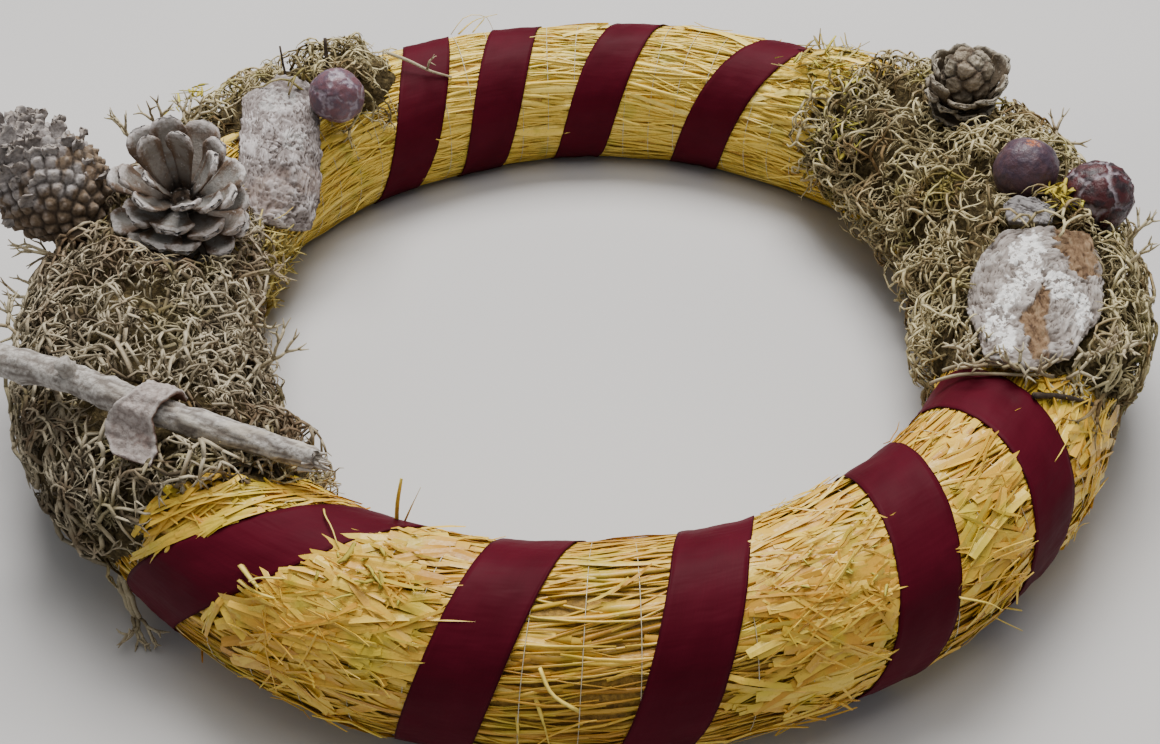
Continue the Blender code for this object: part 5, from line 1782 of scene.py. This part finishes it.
# Lichen sprigs: as (start, direction) in mm about the ring's centre on and under the left mat, as
# (theta, phi, side) along the stem at the right mat's edge, and as (theta, phi, lift) where moss is thin
STANDING_SPRIGS = (
    ((-167.0, 57.0, 70.0), (-0.35, 0.15, 0.95)), ((-172.0, 50.0, 72.0), (-0.25, 0.1, 1.0)),
    ((-161.0, 66.0, 68.0), (0.1, 0.4, 0.9)), ((-190.0, -8.0, 62.0), (-0.8, 0.3, 0.6)),
    ((-196.0, -20.0, 52.0), (-0.9, 0.2, 0.4)), ((-128.0, -14.0, 56.0), (0.9, 0.1, 0.3)),
    ((-192.0, 2.0, 52.0), (-0.9, 0.1, 0.3)), ((-198.0, -6.0, 42.0), (-0.9, -0.2, 0.1)),
    ((-200.0, -30.0, 50.0), (-0.8, 0.0, 0.4)), ((-197.0, -48.0, 58.0), (-0.8, 0.1, 0.5)),
    ((-124.0, -40.0, 54.0), (0.9, -0.2, 0.35)), ((-116.0, -62.0, 52.0), (0.9, 0.0, 0.4)),
    ((188.0, -48.0, 62.0), (0.3, 0.4, 0.8)), ((192.0, -34.0, 62.0), (0.3, 0.4, 0.8)),
    ((183.0, 32.0, 66.0), (0.6, 0.3, 0.8)),
)
HANGING_LINE = ((-150.5, -122.5, 30.0), (-154.6, -127.2, 18.0), (-151.5, -132.5, 8.0))
HANGING_SPRIGS = (
    ((-151.5, -132.5, 8.0), (0.4, -0.6, -0.35)), ((-150.2, -133.2, 7.5), (0.9, -0.3, -0.3)),
    ((-152.8, -132.1, 7.5), (-0.1, -0.8, -0.3)),
)
EDGE_SPRIGS = (
    (324.6, 118, 1), (324.8, 108, -1), (324.6, 100, 1), (325.0, 92, -1), (325.4, 84, 1), (326.2, 76, -1),
    (327.0, 70, 1),
)
THIN_PLACES = (
    (225.6, 98, 3), (227, 104, 3), (228.2, 111, 3), (229.2, 118, 3), (230, 126, 3), (226.5, 114, 3),
    (227.6, 122, 3), (328.7, 126, 7), (330.5, 129, 7), (327.0, 121, 6), (333.7, 56, 8), (332.2, 62, 8),
    (335.2, 50, 8),
)


# Single loose straws, each as its keys and the radius it starts with. Keys are (x, y, z) about the
# ring's centre in the first table and (theta, phi, lift) in the second.
FREE_STRAWS = (
    (((-60.5, -136.5, 50.0), (-59.0, -137.0, 60.0), (-56.4, -137.6, 71.0)), 0.9),
    (((-58.5, -136.5, 50.0), (-55.0, -136.5, 58.0), (-51.5, -135.6, 65.0)), 0.4),
    (((113.0, -155.0, 28.0), (122.0, -154.0, 21.0), (133.0, -151.5, 14.5)), 1.2),
    (((113.0, -157.0, 26.0), (123.0, -158.0, 19.0), (132.0, -157.5, 12.0)), 0.8),
    (((116.0, -152.0, 30.0), (124.0, -149.0, 24.0), (130.0, -146.0, 19.5)), 0.5),
    (((-20.0, -191.0, 45.0), (-17.0, -200.0, 38.0), (-15.5, -202.0, 27.0)), 1.3),
    (((-24.0, -191.0, 42.0), (-24.0, -200.0, 33.0), (-24.5, -201.5, 22.0)), 1.0),
)
LYING_STRAWS = (
    (((236.5, 57, 3), (238.5, 54, 6), (240, 52, 8)), 1.1),
    (((237, 50, 3), (239, 49, 5), (241.5, 50, 6)), 0.9),
    (((241, 60, 2), (239.6, 56, 7), (239.3, 53, 10)), 0.6),
    (((239.4, 110, 1.9), (240.6, 103, 2.8), (242.6, 95, 3.2), (244.4, 86, 1.7)), 0.35),
    (((108, 62, 2), (105.5, 66, 9), (102.5, 64, 8), (101.5, 58, 2)), 0.5),
    (((107, 66, 1.5), (104, 60, 7), (100.5, 57, 9)), 0.6),
    (((105, 72, 1.5), (103, 63, 6), (102.4, 55, 8)), 0.4),
    (((268, 20, 1.5), (266, 30, 3.0), (265, 42, 2.2)), 1.2),
    (((302, 25, 2), (304.5, 15, 4), (306, 6, 5)), 0.8),
)


SPRIG_STEPS, SPRIG_SIDES = 4, 4
CHAFF_STEPS, CHAFF_SIDES = 4, 4


def ring_path(keys, steps):
    """A smooth path through (theta, phi, lift) keys."""
    return tube(*smooth_columns(keys, steps))


def free_path(keys, steps):
    """A smooth path through (x, y, z) keys in mm about the ring's centre."""
    return np.stack(smooth_columns(keys, steps), -1)


def add_rod(gather, path, start, end, sides=6, flatness=1.0, **fields):
    """A tapered rod along a path, with its start and end radii."""
    radii = np.linspace(start, end, len(path))[None]
    points, faces = tubes(path[None], radii, sides, flatness=flatness)
    gather.add(points, faces, **fields)


def sprig(gather, rng, start, way, lengths, radii, spread=26):
    """A forking sprig of lichen in free space."""
    start, way = np.array(start, float)[None], unit(way)[None]
    for level, (length, radius) in enumerate(zip(lengths, radii)):
        tract = [start]
        for _ in range(SPRIG_STEPS - 1):
            way = unit(way + rng.normal(0, 0.16, way.shape))
            step = way * length / (SPRIG_STEPS - 1) * rng.uniform(0.7, 1.3, (len(way), 1))
            tract.append(tract[-1] + step)
        path = np.stack(tract, 1)
        thin = np.linspace(1, 0.8 if level < len(lengths) - 1 else 0.35, SPRIG_STEPS)
        points, faces = tubes(path, np.tile(radius * thin, (len(path), 1)), SPRIG_SIDES)
        share = (level + np.linspace(0, 1, SPRIG_STEPS)) / len(lengths)
        gather.add(points, faces, tip=np.tile(np.repeat(share, SPRIG_SIDES), len(path)), tone=0.6)
        lean = unit(rng.normal(size=way.shape))
        angle = np.radians(rng.uniform(0.7, 1.4, len(way)) * spread)
        way = fork(way, lean, angle, angle)
        start = np.tile(tract[-1], (2, 1))


def add_chaff(gather, rng, places, count, shortest, longest):
    """Short flat strips heaped round (theta, phi, lift, spread in mm) places."""
    for theta, phi, lift, spread in places:
        t = along_ring(theta, phi, rng.normal(0, spread, count))
        p = round_tube(phi, rng.normal(0, spread * 0.7, count))
        base = tube(t, p, np.maximum(lift + rng.normal(0, 1.2, count), 0.5))
        way = unit(rng.normal(size=(count, 3)) * (1, 1, 0.35))
        length = rng.uniform(shortest, longest, (count, 1, 1))
        share = np.linspace(-0.5, 0.5, CHAFF_STEPS)[None, :, None]
        sag = rng.normal(0, 0.2, (count, 1, 3)) * length * share**2
        path = base[:, None] + way[:, None] * length * share + sag
        clear = hull_distance(path[:, 1:3].reshape(-1, 3)).reshape(-1, 2).min(1) > 0.3
        path = path[clear]
        radii = rng.uniform(0.35, 1.0, (len(path), 1)) * np.array((0.6, 1.0, 1.0, 0.5))
        points, faces = tubes(path, radii, CHAFF_SIDES, flatness=0.3)
        tone = np.repeat(rng.uniform(0, 1, len(path)), CHAFF_STEPS * CHAFF_SIDES)
        gather.add(points, faces, tip=0.8, tone=tone)


def add_hanging_tuft(gather, rng):
    """The tuft that hangs from the left mat: three strands side by side, forked at their ends."""
    for side in (-1.1, 0.1, 1.2):
        path = free_path(np.array(HANGING_LINE) + (side, -0.4 * side, 0), 14)
        path = path + 0.7 * flat_points(noise(path + side, 7, 133), noise(path + side, 6, 134))
        add_rod(gather, path, 1.15, 0.8, tip=0.4, tone=0.5)
    for end, way in HANGING_SPRIGS:
        sprig(gather, rng, end, way, (4.6, 3.6, 2.8, 2.2), (0.8, 0.7, 0.6, 0.5), 30)


def make_sprigs():
    """Lichen sprigs that stand clear of the mats, and the tuft that hangs on the left."""
    rng = np.random.default_rng(131)
    gather = Gather()
    for start, way in STANDING_SPRIGS:
        sprig(gather, rng, start, way, (8.0, 6.5, 5.0, 4.0), (0.95, 0.8, 0.65, 0.5))
    add_hanging_tuft(gather, rng)
    across = ring_path(((121, 98, 9), (118, 108, 6), (115, 119, 3.2), (111.6, 127.7, 1.8)), 14)
    add_rod(gather, across, 0.9, 0.5, tip=0.8, tone=0.8)
    sprig(gather, rng, across[8], (0.8, -0.2, 0.5), (4.5, 3.5, 3.0), (0.6, 0.5, 0.4))
    for keys in (
        ((325, 146, 5), (325.4, 128, 3.2), (325.2, 111, 2.8), (325.6, 92, 3.8), (326.5, 79, 6)),
        ((327, 140, 5), (326.8, 122, 4.4), (326.4, 104, 4.6), (327.5, 90, 5)),
    ):
        add_rod(gather, ring_path(keys, 16), 0.7, 0.5, tip=0.8, tone=0.8)
    for theta, phi, sideways in EDGE_SPRIGS:
        way = (sideways, 0.1, 0.4)
        sprig(gather, rng, tube(theta, phi, 7.0), way, (5.0, 4.0, 3.4), (0.8, 0.66, 0.52), 34)
    for x, y in ((-150.0, 92.0), (-162.0, 86.0), (-139.0, 100.0)):
        sprig(gather, rng, (x, y, 62.0), (-0.25, 0.45, 0.85), (7.0, 5.5, 4.5), (0.8, 0.65, 0.5))
    for theta, phi, lift in THIN_PLACES:
        for sideways in (-0.8, 0.0, 0.8):
            way = (sideways, 0.5 * sideways - 0.3, 0.7)
            sprig(gather, rng, tube(theta, phi, lift), way, (4.6, 3.6, 2.8), (0.9, 0.75, 0.6), 34)
    look = lichen_look(
        "lichen_sprig", (78, 66, 48), (138, 124, 98), (186, 174, 144), (118, 94, 68), (140, 130, 76),
    )
    gather.make("lichen_sprigs", look)


def make_sticks():
    """Thin dark stems and sticks."""
    gather = Gather()
    for path, start, end in (
        (free_path(((-126.5, 121.0, 62.0), (-128.0, 124.5, 71.0), (-128.6, 127.5, 80.5)), 6), 0.6, 0.45),
        (free_path(((-108.0, 121.0, 64.0), (-108.3, 124.0, 76.0), (-107.9, 126.1, 84.0)), 6), 0.9, 0.8),
        (ring_path(((323.6, 80, 2.8), (326, 66, 2.6), (328.8, 46, 2.4)), 8), 1.1, 0.7),
        (ring_path(((30, 92, 12), (28, 96, 12.5), (25, 99, 12)), 6), 0.7, 0.5),
    ):
        add_rod(gather, path, start, end)
    look = Look("dark_stem", specular=0.3)
    grain = look.noise(1.5, 3, stretch=(1, 1, 0.3))
    look.paint(grain, (0.3, (42, 34, 28)), (0.7, (84, 70, 58)))
    look.bump(grain, 0.2)
    gather.make("dark_stems", look.set())


def make_chaff():
    """Yellow-green and olive bits among the moss and on the straw, and single loose straws."""
    rng = np.random.default_rng(141)
    green, olive, loose = Gather(), Gather(), Gather()
    add_chaff(green, rng, YELLOW_GREEN_PLACES, 24, 3.5, 10)
    add_chaff(olive, rng, OLIVE_PLACES, 60, 6, 18)
    for keys, start in FREE_STRAWS:
        add_rod(loose, free_path(keys, 7), start, 0.5 * start, 4, 0.3, tone=0.8, deep=0.0)
    for keys, start in LYING_STRAWS:
        add_rod(loose, ring_path(keys, 8), start, 0.6 * start, 4, 0.4, tone=0.8, deep=0.0)
    green_look = lichen_look(
        "chaff_green", (120, 110, 34), (172, 162, 52), (206, 194, 86), (186, 160, 62), (150, 152, 44),
    )
    olive_look = lichen_look(
        "chaff_olive", (96, 84, 38), (152, 138, 70), (196, 178, 108), (170, 138, 62), (140, 134, 54),
    )
    green.make("chaff_yellow_green", green_look)
    olive.make("chaff_olive", olive_look)
    loose.make("loose_straws", straw_look("loose_straw", pale=0.14))


# Stage. Each light is (name, place, aim, size, watts, tint), in metres.

FLOOR_HALF = 2500.0
LIGHTS = (
    ("key", (0.05, 0.72, 1.40), (0, 0, 0), 0.9, 42, (1.0, 0.985, 0.965)),
    ("fill", (0.1, -0.12, 0.80), (0, 0.22, 0.04), 0.5, 2.2, (1.0, 0.98, 0.95)),
)
ROOM_COLOUR = (0.86, 0.88, 0.9, 1)
ROOM_STRENGTH = 0.32


def link(name, data):
    """An object in the scene for a mesh, a light or a camera."""
    obj = bpy.data.objects.new(name, data)
    bpy.context.scene.collection.objects.link(obj)
    return obj


def make_floor():
    """The plain pale floor."""
    look = Look("pale_floor", roughness=0.75, specular=0.2)
    look.paint(look.noise(600, 2), (0.3, (190, 188, 188)), (0.7, (204, 202, 200)))
    half = FLOOR_HALF
    corners = np.array([(-half, -half, 0), (half, -half, 0), (half, half, 0), (-half, half, 0)])
    mesh = bpy.data.meshes.new("floor")
    mesh.from_pydata((corners * MM).tolist(), [], [(0, 1, 2, 3)])
    mesh.materials.append(look.set())
    link("floor", mesh)


def make_lights():
    """Soft light from above and behind, and from all round."""
    for name, place, aim, size, watts, tint in LIGHTS:
        light = bpy.data.lights.new(name, "AREA")
        light.size = size
        light.energy = watts
        light.color = tint
        lamp = link(name, light)
        lamp.location = place
        lamp.rotation_euler = (Vector(aim) - Vector(place)).to_track_quat("-Z", "Y").to_euler()
    world = bpy.data.worlds.new("soft_room")
    world.use_nodes = True
    world.node_tree.nodes["Background"].inputs["Color"].default_value = ROOM_COLOUR
    world.node_tree.nodes["Background"].inputs["Strength"].default_value = ROOM_STRENGTH
    bpy.context.scene.world = world


def make_camera():
    """The camera, at the photo's angle."""
    lens = bpy.data.cameras.new("camera")
    lens.lens = CAMERA_LENS_MM
    lens.sensor_width = CAMERA_SENSOR_MM
    lens.sensor_fit = "HORIZONTAL"
    camera = link("camera", lens)
    right, up = Vector(CAMERA_RIGHT), Vector(CAMERA_UP)
    turn = Matrix((right, up, right.cross(up))).transposed().to_4x4()
    camera.matrix_world = Matrix.Translation(Vector((CAMERA_PLACE + RING_CENTRE) * MM)) @ turn
    bpy.context.scene.camera = camera


def main():
    dress_straw_ring()
    make_straw()
    make_thread()
    satin = satin_look()
    make_ribbon("satin_front", FRONT_BANDS, satin)
    make_ribbon("satin_back", BACK_BANDS, satin)
    for make in (
        make_moss, make_open_cone, make_closed_cone, make_small_cone, make_balls, make_bark, make_twig,
        make_strip, make_sprigs, make_sticks, make_chaff, make_floor, make_lights, make_camera,
    ):
        make()


main()
